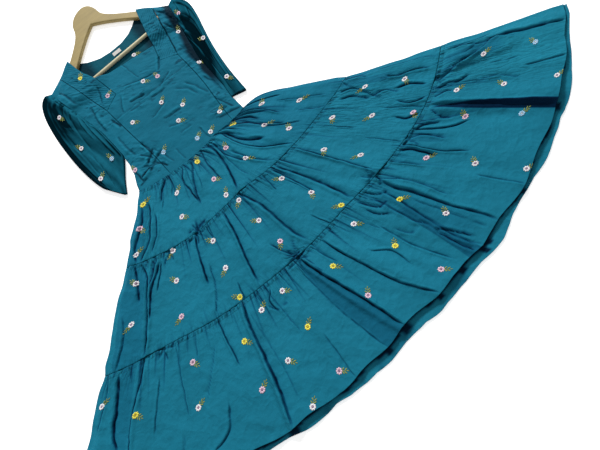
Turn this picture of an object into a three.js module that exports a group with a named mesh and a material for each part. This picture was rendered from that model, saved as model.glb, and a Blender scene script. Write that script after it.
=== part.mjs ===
// A tiered midi dress laid out on a surface, its front over its back, with a wooden hanger inside.
// Millimetres. While it is built, the origin is the middle of the waist seam on the surface:
// +X across the dress, +Y from the waist toward the neck, +Z up off the surface.
// At the end the whole dress is moved so that its origin is the bottom centre of its box.
import * as THREE from 'three';

const WALL = 1.5; // thickness of every cloth wall
const SEAM_GAP = 0.3; // between pieces that are sewn together, and between layers
const GATHER_GAP = 0.6; // across a gathered seam, where both edges wave
const BACK_TOP = WALL; // upper face of the back layer, which lies on the surface
const FRONT_REST = BACK_TOP + SEAM_GAP + WALL; // outer face of a front piece lying on the back

const TEAL = { color: 0x14647a, roughness: 0.72, metalness: 0 };
const TEAL_SHADE = { color: 0x0d4657, roughness: 0.78, metalness: 0 };
const BEECH = { color: 0xc6ae7c, roughness: 0.5, metalness: 0 };
const WHITE = { color: 0xe8e6e0, roughness: 0.8, metalness: 0 };

const dress = new THREE.Group();
dress.name = 'midi_kurti';

// ---------------------------------------------------------------- small helpers

const mix = (a, b, share) => a + (b - a) * share;
const clamp01 = (x) => Math.min(1, Math.max(0, x));
const smooth = (x) => clamp01(x) ** 2 * (3 - 2 * clamp01(x));
const hump = (distance, reach) => Math.exp(-((distance / reach) ** 2));

/** The value of a smooth curve through evenly spread values, at a share 0..1 of its length. */
function alongCurve(values, share) {
  const last = values.length - 1;
  const place = clamp01(share) * last;
  const i = Math.min(Math.floor(place), last - 1);
  const f = place - i;
  const [a, b] = [values[i], values[i + 1]];
  const before = i > 0 ? values[i - 1] : 2 * a - b;
  const after = i + 2 <= last ? values[i + 2] : 2 * b - a;
  const bend = (2 * before - 5 * a + 4 * b - after) * f ** 2 + (3 * a - before - 3 * b + after) * f ** 3;
  return 0.5 * (2 * a + (b - before) * f + bend);
}

/** Shares 0..1 in equal steps. */
const evenShares = (steps) => Array.from({ length: steps + 1 }, (_, i) => i / steps);

/** Adds a named mesh of one closed body. */
function piece(name, geometry, look) {
  const mesh = new THREE.Mesh(geometry, new THREE.MeshStandardMaterial(look));
  mesh.name = name;
  dress.add(mesh);
  return mesh;
}

/**
 * A closed cloth wall: the outer points on a grid of rows and columns, the inner points on the same
 * grid, and a strip round every open edge. Rows that are rings join their last column to their first.
 */
function clothWall(outerRows, innerRows, ring = false) {
  const columns = outerRows[0].length;
  const points = [...outerRows.flat(), ...innerRows.flat()];
  const inside = outerRows.length * columns;
  const faces = [];
  for (let row = 0; row + 1 < outerRows.length; row += 1) {
    for (let column = 0; column + (ring ? 0 : 1) < columns; column += 1) {
      const next = (column + 1) % columns;
      const [a, b] = [row * columns + column, row * columns + next];
      const [c, d] = [b + columns, a + columns];
      faces.push([a, d, c], [a, c, b]);
    }
  }
  const open = new Map();
  for (const face of faces) {
    face.forEach((from, k) => open.set(`${from},${face[(k + 1) % 3]}`, [from, face[(k + 1) % 3]]));
  }
  const index = faces.flatMap(([a, b, c]) => [a, b, c, a + inside, c + inside, b + inside]);
  for (const [from, to] of open.values()) {
    if (open.has(`${to},${from}`)) continue;
    index.push(to, from, from + inside, to, from + inside, to + inside);
  }
  const geometry = new THREE.BufferGeometry();
  geometry.setAttribute('position', new THREE.Float32BufferAttribute(points.flat(), 3));
  geometry.setIndex(index);
  geometry.computeVertexNormals();
  return geometry;
}

/** A flat piece cut to an outline, from height low up through its thickness. */
function flatPiece(outline, low, thickness) {
  const shape = new THREE.Shape(outline.map(([x, y]) => new THREE.Vector2(x, y)));
  const geometry = new THREE.ExtrudeGeometry(shape, { depth: thickness, bevelEnabled: false });
  return geometry.translate(0, 0, low);
}

// ---------------------------------------------------------------- skirt: its plan

const FAN_APEX_Y = 130; // the skirt spreads as a fan from this point on the dress's middle line
const WAIST_SPREAD = 8; // how quickly the gathers let the sides out just below the waist
// Distance of each line across from the apex, in even steps from the side seam at -X to that at +X.
const SKIRT_RIBS = [
  { waist: 207, seam1: 385, seam2: 610, hem: 862, backHem: 876 },
  { waist: 185, seam1: 355, seam2: 550, hem: 808, backHem: 823 },
  { waist: 169, seam1: 333, seam2: 520, hem: 775, backHem: 789 },
  { waist: 160, seam1: 312, seam2: 502, hem: 753, backHem: 771 },
  { waist: 156, seam1: 304, seam2: 502, hem: 745, backHem: 768 },
  { waist: 157, seam1: 322, seam2: 516, hem: 773, backHem: 798 },
  { waist: 161, seam1: 348, seam2: 558, hem: 824, backHem: 837 },
  { waist: 183, seam1: 387, seam2: 615, hem: 878, backHem: 901 },
  { waist: 209, seam1: 449, seam2: 665, hem: 937, backHem: 944 },
];
// Where the side seams cross each line, in degrees from straight down the skirt.
const SIDE_SEAMS = {
  waist: { left: -49, right: 48 },
  seam1: { left: -46, right: 56 },
  seam2: { left: -45.5, right: 59 },
  hem: { left: -46, right: 61 },
  backHem: { left: -46, right: 61 },
};

// How the hems wave in and out where the cloth flutes.
const HEM_WAVES = {
  hem: { waves: 11, height: 2.4, start: 0.6 },
  backHem: { waves: 9, height: 2.4, start: 2 },
};

/** Plan place on the skirt between two lines across: share runs from -X to +X, down from upper to lower. */
function skirtPlan(upper, lower, share, down) {
  const spread = upper === 'waist' ? 1 - (1 - down) ** WAIST_SPREAD : down;
  const left = mix(SIDE_SEAMS[upper].left, SIDE_SEAMS[lower].left, spread);
  const right = mix(SIDE_SEAMS[upper].right, SIDE_SEAMS[lower].right, spread);
  const angle = THREE.MathUtils.degToRad(mix(left, right, share));
  const column = (line) => alongCurve(SKIRT_RIBS.map((rib) => rib[line]), share);
  const { waves, height, start } = HEM_WAVES[lower] ?? { waves: 0, height: 0, start: 0 };
  const wave = height * Math.sin(2 * Math.PI * waves * share + start) * down ** 4;
  const reach = mix(column(upper), column(lower), down) + wave;
  return [reach * Math.sin(angle), FAN_APEX_Y - reach * Math.cos(angle)];
}

/** The same, drawn in by half a gathered seam's gap at each end. */
function gappedPlan(upper, lower, share, down) {
  const [above, below] = [skirtPlan(upper, lower, share, 0), skirtPlan(upper, lower, share, 1)];
  const gap = GATHER_GAP / 2 / Math.hypot(below[0] - above[0], below[1] - above[1]);
  return skirtPlan(upper, lower, share, mix(gap, 1 - gap, down));
}

// ---------------------------------------------------------------- skirt: its folds

// Each tier: its gathers across the front, their height at the seam above, and further down, where
// every second one has run out; the general loft of the cloth above and below, and the rows of the grid.
const TIERS = [
  { node: 'front_tier_1', upper: 'waist', lower: 'seam1', gathers: 16, pucker: 2.6, flute: 2.2,
    loftTop: 1.5, loftFoot: 4, rows: 5, seed: 0.7 },
  { node: 'front_tier_2', upper: 'seam1', lower: 'seam2', gathers: 26, pucker: 3.0, flute: 3.4,
    loftTop: 4, loftFoot: 4, rows: 5, seed: 2.1 },
  { node: 'front_tier_3', upper: 'seam2', lower: 'hem', gathers: 36, pucker: 3.2, flute: 6.5,
    loftTop: 4, loftFoot: 7, rows: 6, seed: 4.4 },
];
const SAMPLES_A_GATHER = 4;
const SIDE_FALL = 0.018; // share of the width over which the front comes down to the side seam
const UNEVEN_SPACING = [ // how the gathers crowd and spread, as waves across the tier
  { waves: 3, shift: 0.55 },
  { waves: 7, shift: 0.3 },
  { waves: 11, shift: 0.17 },
];
// The long folds: a ridge with a steep side, from one share to another across, over a part of its tier.
const LONG_FOLDS = [
  { tier: 0, shareTop: 0.60, shareFoot: 0.485, from: 0.0, to: 1.0, width: 0.035, height: 4 },
  { tier: 0, shareTop: 0.68, shareFoot: 0.57, from: 0.0, to: 0.9, width: 0.03, height: 3 },
  { tier: 0, shareTop: 0.74, shareFoot: 0.75, from: 0.05, to: 0.95, width: 0.05, height: 5 },
  { tier: 0, shareTop: 0.91, shareFoot: 0.86, from: 0.05, to: 0.6, width: 0.04, height: 4 },
  { tier: 0, shareTop: 0.37, shareFoot: 0.32, from: 0.0, to: 0.7, width: 0.03, height: 3 },
  { tier: 1, shareTop: 0.07, shareFoot: 0.075, from: 0.1, to: 1.0, width: 0.03, height: 6 },
  { tier: 1, shareTop: 0.25, shareFoot: 0.245, from: 0.0, to: 0.65, width: 0.025, height: 4 },
  { tier: 1, shareTop: 0.38, shareFoot: 0.36, from: 0.1, to: 0.9, width: 0.03, height: 5 },
  { tier: 1, shareTop: 0.74, shareFoot: 0.715, from: 0.05, to: 1.0, width: 0.035, height: 5 },
  { tier: 1, shareTop: 0.96, shareFoot: 0.9, from: 0.0, to: 0.6, width: 0.04, height: 5 },
  { tier: 2, shareTop: 0.072, shareFoot: 0.066, from: 0.0, to: 1.0, width: 0.025, height: 7 },
  { tier: 2, shareTop: 0.305, shareFoot: 0.302, from: 0.0, to: 1.0, width: 0.03, height: 9 },
  { tier: 2, shareTop: 0.455, shareFoot: 0.49, from: 0.05, to: 1.0, width: 0.022, height: 10 },
  { tier: 2, shareTop: 0.53, shareFoot: 0.56, from: 0.08, to: 1.0, width: 0.03, height: 6 },
  { tier: 2, shareTop: 0.70, shareFoot: 0.705, from: 0.0, to: 0.6, width: 0.03, height: 5 },
  { tier: 2, shareTop: 0.862, shareFoot: 0.863, from: 0.0, to: 1.0, width: 0.05, height: 12 },
  { tier: 2, shareTop: 0.94, shareFoot: 0.975, from: 0.05, to: 0.7, width: 0.03, height: 8 },
];
const STEEP_SIDE = 0.25; // a long fold's steep side, against its gentle side

/** How many gathers lie before a share of the width; it always grows, but unevenly. */
function gatherCount(tier, share) {
  const uneven = UNEVEN_SPACING.reduce(
    (sum, { waves, shift }) => sum + shift * Math.sin(2 * Math.PI * waves * share + tier.seed * waves), 0);
  return tier.gathers * share + uneven;
}

/** The shares across at even steps of the gathers, so that crests and hollows fall on columns. */
function gatherShares(tier) {
  const [first, last] = [gatherCount(tier, 0), gatherCount(tier, 1)];
  return evenShares(tier.gathers * SAMPLES_A_GATHER).map((step) => {
    let [low, high] = [0, 1];
    for (let halving = 0; halving < 30; halving += 1) {
      const middle = (low + high) / 2;
      if (gatherCount(tier, middle) < mix(first, last, step)) low = middle;
      else high = middle;
    }
    return step === 0 ? 0 : step === 1 ? 1 : (low + high) / 2;
  });
}

/** Height of the long folds of a tier at a place on it. */
function longFoldHeight(tierIndex, share, down) {
  return LONG_FOLDS.filter((fold) => fold.tier === tierIndex).reduce((highest, fold) => {
    const along = (down - fold.from) / (fold.to - fold.from);
    if (along < 0 || along > 1) return highest;
    const off = share - mix(fold.shareTop, fold.shareFoot, down);
    const reach = off > 0 ? fold.width : fold.width * STEEP_SIDE;
    const runOut = fold.to < 1 ? smooth((1 - along) * 3) : 1;
    const rise = smooth(along * 4 + 0.3);
    return Math.max(highest, fold.height * hump(off, reach) * rise * runOut);
  }, 0);
}

/** Loft of the front cloth above where it would lie on the back. */
function skirtLoft(tierIndex, share, down) {
  const tier = TIERS[tierIndex];
  const count = gatherCount(tier, share) - gatherCount(tier, 0);
  const gather = 0.5 - 0.5 * Math.cos(2 * Math.PI * count);
  const flute = 0.5 - 0.5 * Math.cos(Math.PI * count);
  const sideFall = smooth(share / SIDE_FALL) * smooth((1 - share) / SIDE_FALL);
  const pucker = tier.pucker * gather * (1 - 0.75 * smooth(down * 1.4));
  const low = tier.flute * flute * smooth(down * 1.6) * (0.7 + 0.3 * Math.sin(9 * share + tier.seed));
  const general = mix(tier.loftTop, tier.loftFoot, down);
  return sideFall * (general + pucker + low + longFoldHeight(tierIndex, share, down));
}

function frontTier(tier, tierIndex) {
  const shares = gatherShares(tier);
  const rowAt = (down, drop) => shares.map((share) => {
    const [x, y] = gappedPlan(tier.upper, tier.lower, share, down);
    return [x, y, FRONT_REST + skirtLoft(tierIndex, share, down) - drop];
  });
  const rows = (drop) => evenShares(tier.rows).map((down) => rowAt(down, drop));
  piece(tier.node, clothWall(rows(0), rows(WALL)), TEAL);
}

const BACK_STEPS = 40; // steps across the outline of a back tier
const BACK_HEM_STEPS = 64; // and of the one whose hem waves

/** A back tier lies flat: its outline between two lines across, less half a seam's gap at each. */
function backTier(node, upper, lower, steps = BACK_STEPS) {
  const lineAt = (down) => evenShares(steps).map((share) => gappedPlan(upper, lower, share, down));
  const outline = [...lineAt(0), ...lineAt(1).reverse()];
  piece(node, flatPiece(outline, 0, WALL), TEAL_SHADE);
}

TIERS.forEach(frontTier);
backTier('back_tier_1', 'waist', 'seam1');
backTier('back_tier_2', 'seam1', 'seam2');
backTier('back_tier_3', 'seam2', 'backHem', BACK_HEM_STEPS);

// ---------------------------------------------------------------- hanger

const ARM_THICKNESS = 11;
const ARM_LOW = BACK_TOP + SEAM_GAP; // the arms lie on the back
const ARM_TOP = ARM_LOW + ARM_THICKNESS;
const ARM_EDGE = 2.5; // the rounding of the arms' edges
const BAR = { diameter: 9, left: [-140.5, 331.5], right: [143, 342], height: 7.5 };

const armOutline = new THREE.Shape();
armOutline.moveTo(4, 482);
armOutline.bezierCurveTo(-20, 466, -60, 430, -92, 397);
armOutline.bezierCurveTo(-116, 372, -134, 352, -146.6, 326);
armOutline.lineTo(-166, 326);
armOutline.bezierCurveTo(-160, 356, -128, 398, -98, 427);
armOutline.bezierCurveTo(-62, 462, -48, 478, -42, 500);
armOutline.bezierCurveTo(-38, 532, -12, 552, 12, 552);
armOutline.bezierCurveTo(36, 550, 40, 522, 42, 500);
armOutline.bezierCurveTo(44, 482, 80, 450, 116, 421);
armOutline.bezierCurveTo(140, 398, 166, 366, 170, 337);
armOutline.lineTo(148.6, 337);
armOutline.bezierCurveTo(140, 362, 128, 378, 112, 394);
armOutline.bezierCurveTo(70, 436, 30, 466, 4, 482);

const arms = new THREE.ExtrudeGeometry(armOutline, {
  depth: ARM_THICKNESS - 2 * ARM_EDGE,
  bevelSize: ARM_EDGE,
  bevelThickness: ARM_EDGE,
  bevelOffset: -ARM_EDGE,
  bevelSegments: 2,
  curveSegments: 7,
});
arms.translate(0, 0, ARM_LOW + ARM_EDGE);
piece('hanger_arms', arms, BEECH);

const barSpan = [BAR.right[0] - BAR.left[0], BAR.right[1] - BAR.left[1]];
const barLength = Math.hypot(...barSpan);
const bar = new THREE.CylinderGeometry(BAR.diameter / 2, BAR.diameter / 2, barLength, 12);
bar.rotateZ(Math.PI / 2 + Math.atan2(barSpan[1], barSpan[0]));
bar.translate((BAR.left[0] + BAR.right[0]) / 2, (BAR.left[1] + BAR.right[1]) / 2, BAR.height);
piece('hanger_bar', bar, BEECH);

// ---------------------------------------------------------------- bodice

const COVER_TOP = ARM_TOP + SEAM_GAP + WALL + 0.8; // outer face of the cloth over the hanger
const SHOULDER_ROUND = 9; // width over which the front turns down to the shoulder seam
const SIDE_ROUND = 22; // width over which it comes down to the side seams
const BUST_LOFT = 6.5;
const SHOULDERS = [[[-190, 387], [-106, 434]], [[119, 429], [190, 378]]];
const ARM_LINES = [[[-98, 412], [-158, 330]], [[114, 408], [160, 340]], [[-146, 331], [-82, 333]], [[148, 342], [104, 339]]];
const COVER_FULL = 14; // as far from the hanger's middle lines as its cover stays at full height
const COVER_FALL = 34; // and the width over which it comes down
// Each front piece: its two long edges, in rows from the waist or bust up.
const FRONT_CENTER = [
  { left: [-74, -23], right: [113, -15] },
  { left: [-76, 2], right: [114, 4] },
  { left: [-78, 32], right: [116, 32] },
  { left: [-82, 66], right: [119, 66] },
  { left: [-88, 110], right: [123, 110] },
  { left: [-93, 150], right: [124, 150] },
  { left: [-98, 190], right: [123, 190] },
  { left: [-102, 228], right: [122, 228] },
  { left: [-59, 251], right: [79, 250] },
  { left: [-62.5, 269.5], right: [82, 262.5] },
  { left: [-66, 288], right: [85, 275] },
  { left: [-74, 325], right: [91, 300] },
];
const FRONT_SIDE_LEFT = [
  { left: [-156, -7], right: [-74, -23] },
  { left: [-152, 12], right: [-76, 2] },
  { left: [-143, 34], right: [-78, 32] },
  { left: [-137, 66], right: [-82, 66] },
  { left: [-138, 110], right: [-88, 110] },
  { left: [-141, 150], right: [-93, 150] },
  { left: [-145, 190], right: [-98, 190] },
  { left: [-153.8, 230], right: [-102, 228] },
  { left: [-168, 290], right: [-117, 288] },
  { left: [-177.8, 330], right: [-128, 330] },
  { left: [-185.5, 362], right: [-139, 368] },
  { left: [-189.5, 380], right: [-147, 398] },
  { left: [-190, 386.5], right: [-151, 409] },
];
const FRONT_SIDE_RIGHT = [
  { left: [113, -15], right: [152, -12] },
  { left: [114, 4], right: [151, 8] },
  { left: [116, 32], right: [150, 34] },
  { left: [119, 66], right: [155, 66] },
  { left: [123, 110], right: [157, 110] },
  { left: [124, 150], right: [158, 150] },
  { left: [123, 190], right: [159, 190] },
  { left: [122, 228], right: [164.8, 230] },
  { left: [133, 283], right: [174.6, 283] },
  { left: [141, 323], right: [181.5, 320] },
  { left: [148, 360], right: [187.5, 352] },
  { left: [153, 392], right: [190.2, 371] },
  { left: [155, 403], right: [190, 378] },
];
const FRONT_STRAP_LEFT = [
  { left: [-102, 229], right: [-59.3, 252] },
  { left: [-109.2, 258], right: [-66, 288] },
  { left: [-117, 288], right: [-74, 325] },
  { left: [-128, 330], right: [-86, 357] },
  { left: [-139, 368], right: [-96, 386] },
  { left: [-147, 398], right: [-103, 424] },
  { left: [-151, 409], right: [-106, 434] },
];
const FRONT_STRAP_RIGHT = [
  { left: [79.3, 251], right: [121.9, 229] },
  { left: [85, 275], right: [127, 255] },
  { left: [91, 300], right: [133, 283] },
  { left: [99, 342], right: [141, 323] },
  { left: [107, 380], right: [148, 360] },
  { left: [116, 418], right: [153, 392] },
  { left: [119, 429], right: [155, 403] },
];
const CRINKLE = { pitch: 15, height: 1.1, slant: 0.7 }; // the diagonal ripples on the straps

/** Distance from a plan place to a straight line between two others. */
function distanceTo([[ax, ay], [bx, by]], x, y) {
  const [dx, dy] = [bx - ax, by - ay];
  const along = clamp01(((x - ax) * dx + (y - ay) * dy) / (dx * dx + dy * dy));
  return Math.hypot(x - ax - along * dx, y - ay - along * dy);
}

/** Height of the front bodice's outer face: laid on the back, lofted at the bust, carried by the hanger. */
function bodiceHeight(x, y, sideLine) {
  const bust = BUST_LOFT * hump(Math.hypot(x / 1.1, y - 190), 120) + 1.5 * hump(y - 60, 70);
  const nearHanger = Math.min(...ARM_LINES.map((line) => distanceTo(line, x, y)));
  const carried = smooth(1 - (nearHanger - COVER_FULL) / COVER_FALL);
  const lying = FRONT_REST + bust * smooth(sideLine / SIDE_ROUND);
  const height = mix(lying, COVER_TOP, carried);
  const toShoulder = Math.min(...SHOULDERS.map((line) => distanceTo(line, x, y)));
  const turn = 1 - clamp01(toShoulder / SHOULDER_ROUND);
  const low = BACK_TOP + SEAM_GAP;
  return low + (height - low) * Math.sqrt(Math.max(0, 1 - turn ** 2));
}

/** Distance in from a side seam of the bodice at a height y, from the side panels' outer edges. */
function fromSide(x, y) {
  const edgeAt = (rows, side) => {
    const above = rows.findIndex((row) => row[side][1] > y);
    if (above <= 0) return rows[above < 0 ? rows.length - 1 : 0][side][0];
    const [low, high] = [rows[above - 1][side], rows[above][side]];
    return mix(low[0], high[0], (y - low[1]) / (high[1] - low[1]));
  };
  return Math.max(0, Math.min(x - edgeAt(FRONT_SIDE_LEFT, 'left'), edgeAt(FRONT_SIDE_RIGHT, 'right') - x));
}

const crinkleAt = (x, y, slant) => CRINKLE.height * Math.sin((2 * Math.PI * (y + slant * x)) / CRINKLE.pitch);

const waistLine = evenShares(BACK_STEPS).map((share) => skirtPlan('waist', 'seam1', share, 0))
  .map(([x, y]) => [x, y + GATHER_GAP / 2]);

/** Where the bodice's lower edge stands at a place across. */
function waistAt(x) {
  const next = Math.min(waistLine.length - 1, Math.max(1, waistLine.findIndex((point) => point[0] > x)));
  const [[ax, ay], [bx, by]] = [waistLine[next - 1], waistLine[next]];
  return mix(ay, by, clamp01((x - ax) / (bx - ax)));
}

const WAIST_ROWS = 0.12; // the part of a panel's length over which its rows take up the waist's curve

/** A front piece between two long edges, with half a seam's gap at each and some cells to every row. */
function frontPiece(name, edges, columns, cellsARow, extra = () => 0) {
  const startsAtWaist = edges[0].left[1] < 0;
  const plan = (share, up) => {
    const place = up * (edges.length - 1);
    const below = Math.min(Math.floor(place), edges.length - 2);
    const at = (side) => [0, 1].map(
      (axis) => mix(edges[below][side][axis], edges[below + 1][side][axis], place - below));
    const [[lx, ly], [rx, ry]] = [at('left'), at('right')];
    const inset = mix(SEAM_GAP / 2, -SEAM_GAP / 2, share) / Math.hypot(rx - lx, ry - ly);
    const [x, y] = [mix(lx, rx, share + inset), mix(ly, ry, share + inset)];
    return [x, startsAtWaist ? mix(y, waistAt(x), smooth(1 - up / WAIST_ROWS)) : y];
  };
  const outer = (share, up) => {
    const [x, y] = plan(share, up);
    const calm = smooth(Math.min(share, 1 - share) * 6) * smooth((1 - up) * 6) * smooth(up * 8);
    return new THREE.Vector3(x, y, bodiceHeight(x, y, fromSide(x, y)) + extra(x, y) * calm);
  };
  const step = 0.004;
  const inner = (share, up) => {
    const across = outer(share + step, up).sub(outer(share - step, up));
    const along = outer(share, Math.min(1, up + step)).sub(outer(share, Math.max(0, up - step)));
    const normal = across.cross(along).normalize();
    const point = outer(share, up).addScaledVector(normal, -WALL);
    return point.setZ(Math.max(point.z, BACK_TOP + SEAM_GAP));
  };
  const shares = evenShares(columns);
  const ups = evenShares((edges.length - 1) * cellsARow).reverse();
  const rows = (at) => ups.map((up) => shares.map((share) => at(share, up).toArray()));
  piece(name, clothWall(rows(outer), rows(inner)), TEAL);
}

frontPiece('front_bodice_center', FRONT_CENTER, 12, 2);
frontPiece('front_bodice_side_left', FRONT_SIDE_LEFT, 5, 2);
frontPiece('front_bodice_side_right', FRONT_SIDE_RIGHT, 4, 2);
frontPiece('front_strap_left', FRONT_STRAP_LEFT, 5, 4, (x, y) => crinkleAt(x, y, CRINKLE.slant));
frontPiece('front_strap_right', FRONT_STRAP_RIGHT, 5, 4, (x, y) => crinkleAt(x, y, -CRINKLE.slant));

// The back is one piece with a round scooped neck, up to the same shoulder and side seams.
const BACK_NECK = [
  [-106, 434], [-99, 426], [-88.5, 414], [-65, 396], [-35.5, 382], [-4, 377],
  [33, 378], [62, 387], [84, 401], [104, 418], [119, 429],
];
const backOutline = [
  ...waistLine,
  ...FRONT_SIDE_RIGHT.slice(1).map((row) => row.right),
  ...[...BACK_NECK].reverse(),
  ...[...FRONT_SIDE_LEFT].reverse().slice(0, -1).map((row) => row.left),
];
piece('back_bodice', flatPiece(backOutline, 0, WALL), TEAL_SHADE);

const LABEL = { width: 24, depth: 12, middle: [9, 362], thickness: 0.8 };
const label = new THREE.BoxGeometry(LABEL.width, LABEL.depth, LABEL.thickness);
label.translate(...LABEL.middle, BACK_TOP + SEAM_GAP + LABEL.thickness / 2);
piece('neck_label', label, WHITE);

// ---------------------------------------------------------------- sleeves

// Each sleeve is one tube laid flat beside the bodice: where its two folded edges stand ring by ring,
// from the armhole to the cuff, and how high it stands off the surface there.
const SLEEVE_LEFT = [
  { outer: [-191.8, 384], inner: [-153.4, 221], height: 9 },
  { outer: [-206, 388], inner: [-149.4, 203], height: 15 },
  { outer: [-224, 366], inner: [-146, 185], height: 19 },
  { outer: [-236, 325], inner: [-144, 165], height: 18 },
  { outer: [-241, 270], inner: [-142, 143], height: 16 },
  { outer: [-241, 215], inner: [-140.2, 118], height: 15 },
  { outer: [-238, 160], inner: [-139.4, 93], height: 14 },
  { outer: [-231, 108], inner: [-150, 72], height: 13 },
  { outer: [-221, 66], inner: [-168, 42], height: 12 },
  { outer: [-210, 46], inner: [-185, 8], height: 10 },
];
const SLEEVE_RIGHT = [
  { outer: [193.4, 374], inner: [164.9, 221], height: 9 },
  { outer: [208, 378], inner: [162.4, 203], height: 15 },
  { outer: [224, 360], inner: [160.4, 185], height: 18 },
  { outer: [232, 330], inner: [159.9, 165], height: 17 },
  { outer: [227, 290], inner: [159.3, 143], height: 15 },
  { outer: [217, 250], inner: [158.7, 118], height: 14 },
  { outer: [205, 200], inner: [157.7, 93], height: 13 },
  { outer: [196, 150], inner: [156.8, 72], height: 12 },
  { outer: [189, 90], inner: [153.9, 48], height: 11 },
  { outer: [186, 22], inner: [152.6, 32], height: 10 },
];
const SLEEVE_SIDES = 14; // points round a ring
const SLEEVE_CROWN = 0.6; // below 1 a ring's edges are blunter than an ellipse's
const SLEEVE_UNDERSIDE = 0.15; // and its lower half is all but flat on the surface

/** One ring of a sleeve: a flattened round between its two edges, standing on the surface. */
function sleeveRing({ outer, inner, height }, thinner) {
  const middle = [(outer[0] + inner[0]) / 2, (outer[1] + inner[1]) / 2];
  const half = [(outer[0] - inner[0]) / 2, (outer[1] - inner[1]) / 2];
  const slim = 1 - thinner / Math.hypot(...half);
  return Array.from({ length: SLEEVE_SIDES }, (_, k) => {
    const turn = (2 * Math.PI * k) / SLEEVE_SIDES;
    const [c, s] = [Math.cos(turn), Math.sin(turn)];
    const across = c * slim;
    const bluntness = s > 0 ? SLEEVE_CROWN : SLEEVE_UNDERSIDE;
    const rise = Math.abs(s) < 1e-9 ? 0 : Math.sign(s) * Math.abs(s) ** bluntness * (height / 2 - thinner);
    return [middle[0] + half[0] * across, middle[1] + half[1] * across, height / 2 + rise];
  });
}

function sleeve(name, rings) {
  const turned = rings === SLEEVE_RIGHT ? (ring) => [...ring].reverse() : (ring) => ring;
  const rows = (thinner) => rings.map((ring) => turned(sleeveRing(ring, thinner)));
  piece(name, clothWall(rows(0), rows(WALL), true), TEAL_SHADE);
}

sleeve('sleeve_left', SLEEVE_LEFT);
sleeve('sleeve_right', SLEEVE_RIGHT);

// ---------------------------------------------------------------- origin

const box = new THREE.Box3().setFromObject(dress);
const middle = box.getCenter(new THREE.Vector3());
dress.position.set(-middle.x, -middle.y, -box.min.z);

export default dress;
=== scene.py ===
"""A tiered midi dress laid flat, with a wooden hanger inside its shoulders.

Tables are in millimetres in the dress's own frame, whose origin is the middle of the waist seam
on the surface: +X across the dress, +Y from the waist toward the neck, +Z up off the surface.
One function turns them into metres in the frame of the CAD part. On the skirt a place is a share
across its tier, 0 at the seam at -X and 1 at the seam at +X, and a share down it.
"""

import bpy
import bmesh
import numpy as np
from bpy.props import FloatProperty, FloatVectorProperty, PointerProperty
from mathutils import Matrix, Vector


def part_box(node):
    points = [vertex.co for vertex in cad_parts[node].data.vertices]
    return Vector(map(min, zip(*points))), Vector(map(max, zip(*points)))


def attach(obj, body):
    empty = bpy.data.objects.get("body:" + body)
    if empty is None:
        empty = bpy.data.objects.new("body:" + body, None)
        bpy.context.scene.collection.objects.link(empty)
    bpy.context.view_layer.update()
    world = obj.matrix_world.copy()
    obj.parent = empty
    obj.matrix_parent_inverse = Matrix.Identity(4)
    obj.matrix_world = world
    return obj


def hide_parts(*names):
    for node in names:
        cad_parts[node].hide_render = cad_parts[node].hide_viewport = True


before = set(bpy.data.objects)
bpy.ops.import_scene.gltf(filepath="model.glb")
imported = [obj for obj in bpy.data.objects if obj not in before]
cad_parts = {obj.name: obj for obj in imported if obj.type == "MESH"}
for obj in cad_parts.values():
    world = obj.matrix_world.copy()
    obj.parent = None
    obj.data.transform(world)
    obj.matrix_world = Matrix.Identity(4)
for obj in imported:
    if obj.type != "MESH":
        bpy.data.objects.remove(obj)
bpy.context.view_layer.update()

bl_info = {
    "name": "Tiered midi dress on a hanger",
    "version": (1, 0, 0),
    "blender": (4, 5, 0),
    "location": "View3D > Sidebar > Dress",
    "description": "Builds the cloth, embroidery and hanger of a tiered midi dress laid flat",
    "category": "Object",
}

MM = 0.001
BAR_LOW, BAR_HIGH = (np.array(corner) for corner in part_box("hanger_bar"))
BAR_MIDDLE_MM = np.array([1.25, 336.75])  # middle of the hanger's bar in the dress's own frame
WAIST_MIDDLE = np.append(((BAR_LOW + BAR_HIGH) / 2)[:2] - BAR_MIDDLE_MM * MM, 0.0)


# ---------------- sizes and colours a user sets

def length(label, about, default, low, high):
    """A length property in metres."""
    return FloatProperty(name=label, description=about, default=default, min=low, max=high,
                         subtype="DISTANCE", unit="LENGTH", precision=5)


def factor(label, about, default, low=0.0, high=2.0):
    """A plain factor."""
    return FloatProperty(name=label, description=about, default=default, min=low, max=high)


def colour(label, about, default):
    """A linear colour property."""
    return FloatVectorProperty(name=label, description=about, default=default, size=3,
                               subtype="COLOR", min=0.0, max=1.0)


class DressSizes(bpy.types.PropertyGroup):
    """Sizes of the dress that a user would change."""

    cloth_wall: length("Cloth wall", "Thickness of one layer of cloth", 0.0012, 0.0004, 0.0015)
    fold_height: factor("Long folds", "Height of the long skirt folds against the solid's", 0.8)
    flute_height: factor("Flutes", "Height of the regular flutes against the solid's", 0.32)
    crease_depth: factor("Creases", "Depth of the sharp creases", 1.0)
    gather_depth: factor("Gathers", "Depth of the small gathers at the seams", 1.0)
    crumple_height: length("Crumple", "Height of the soft unevenness of the cloth", 0.0012, 0.0,
                           0.004)
    flower_radius: length("Flower radius", "Radius of an embroidered flower", 0.0065, 0.003, 0.012)
    hanger_edge: length("Hanger edge", "Rounding of the hanger's edges", 0.0034, 0.001, 0.005)


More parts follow.
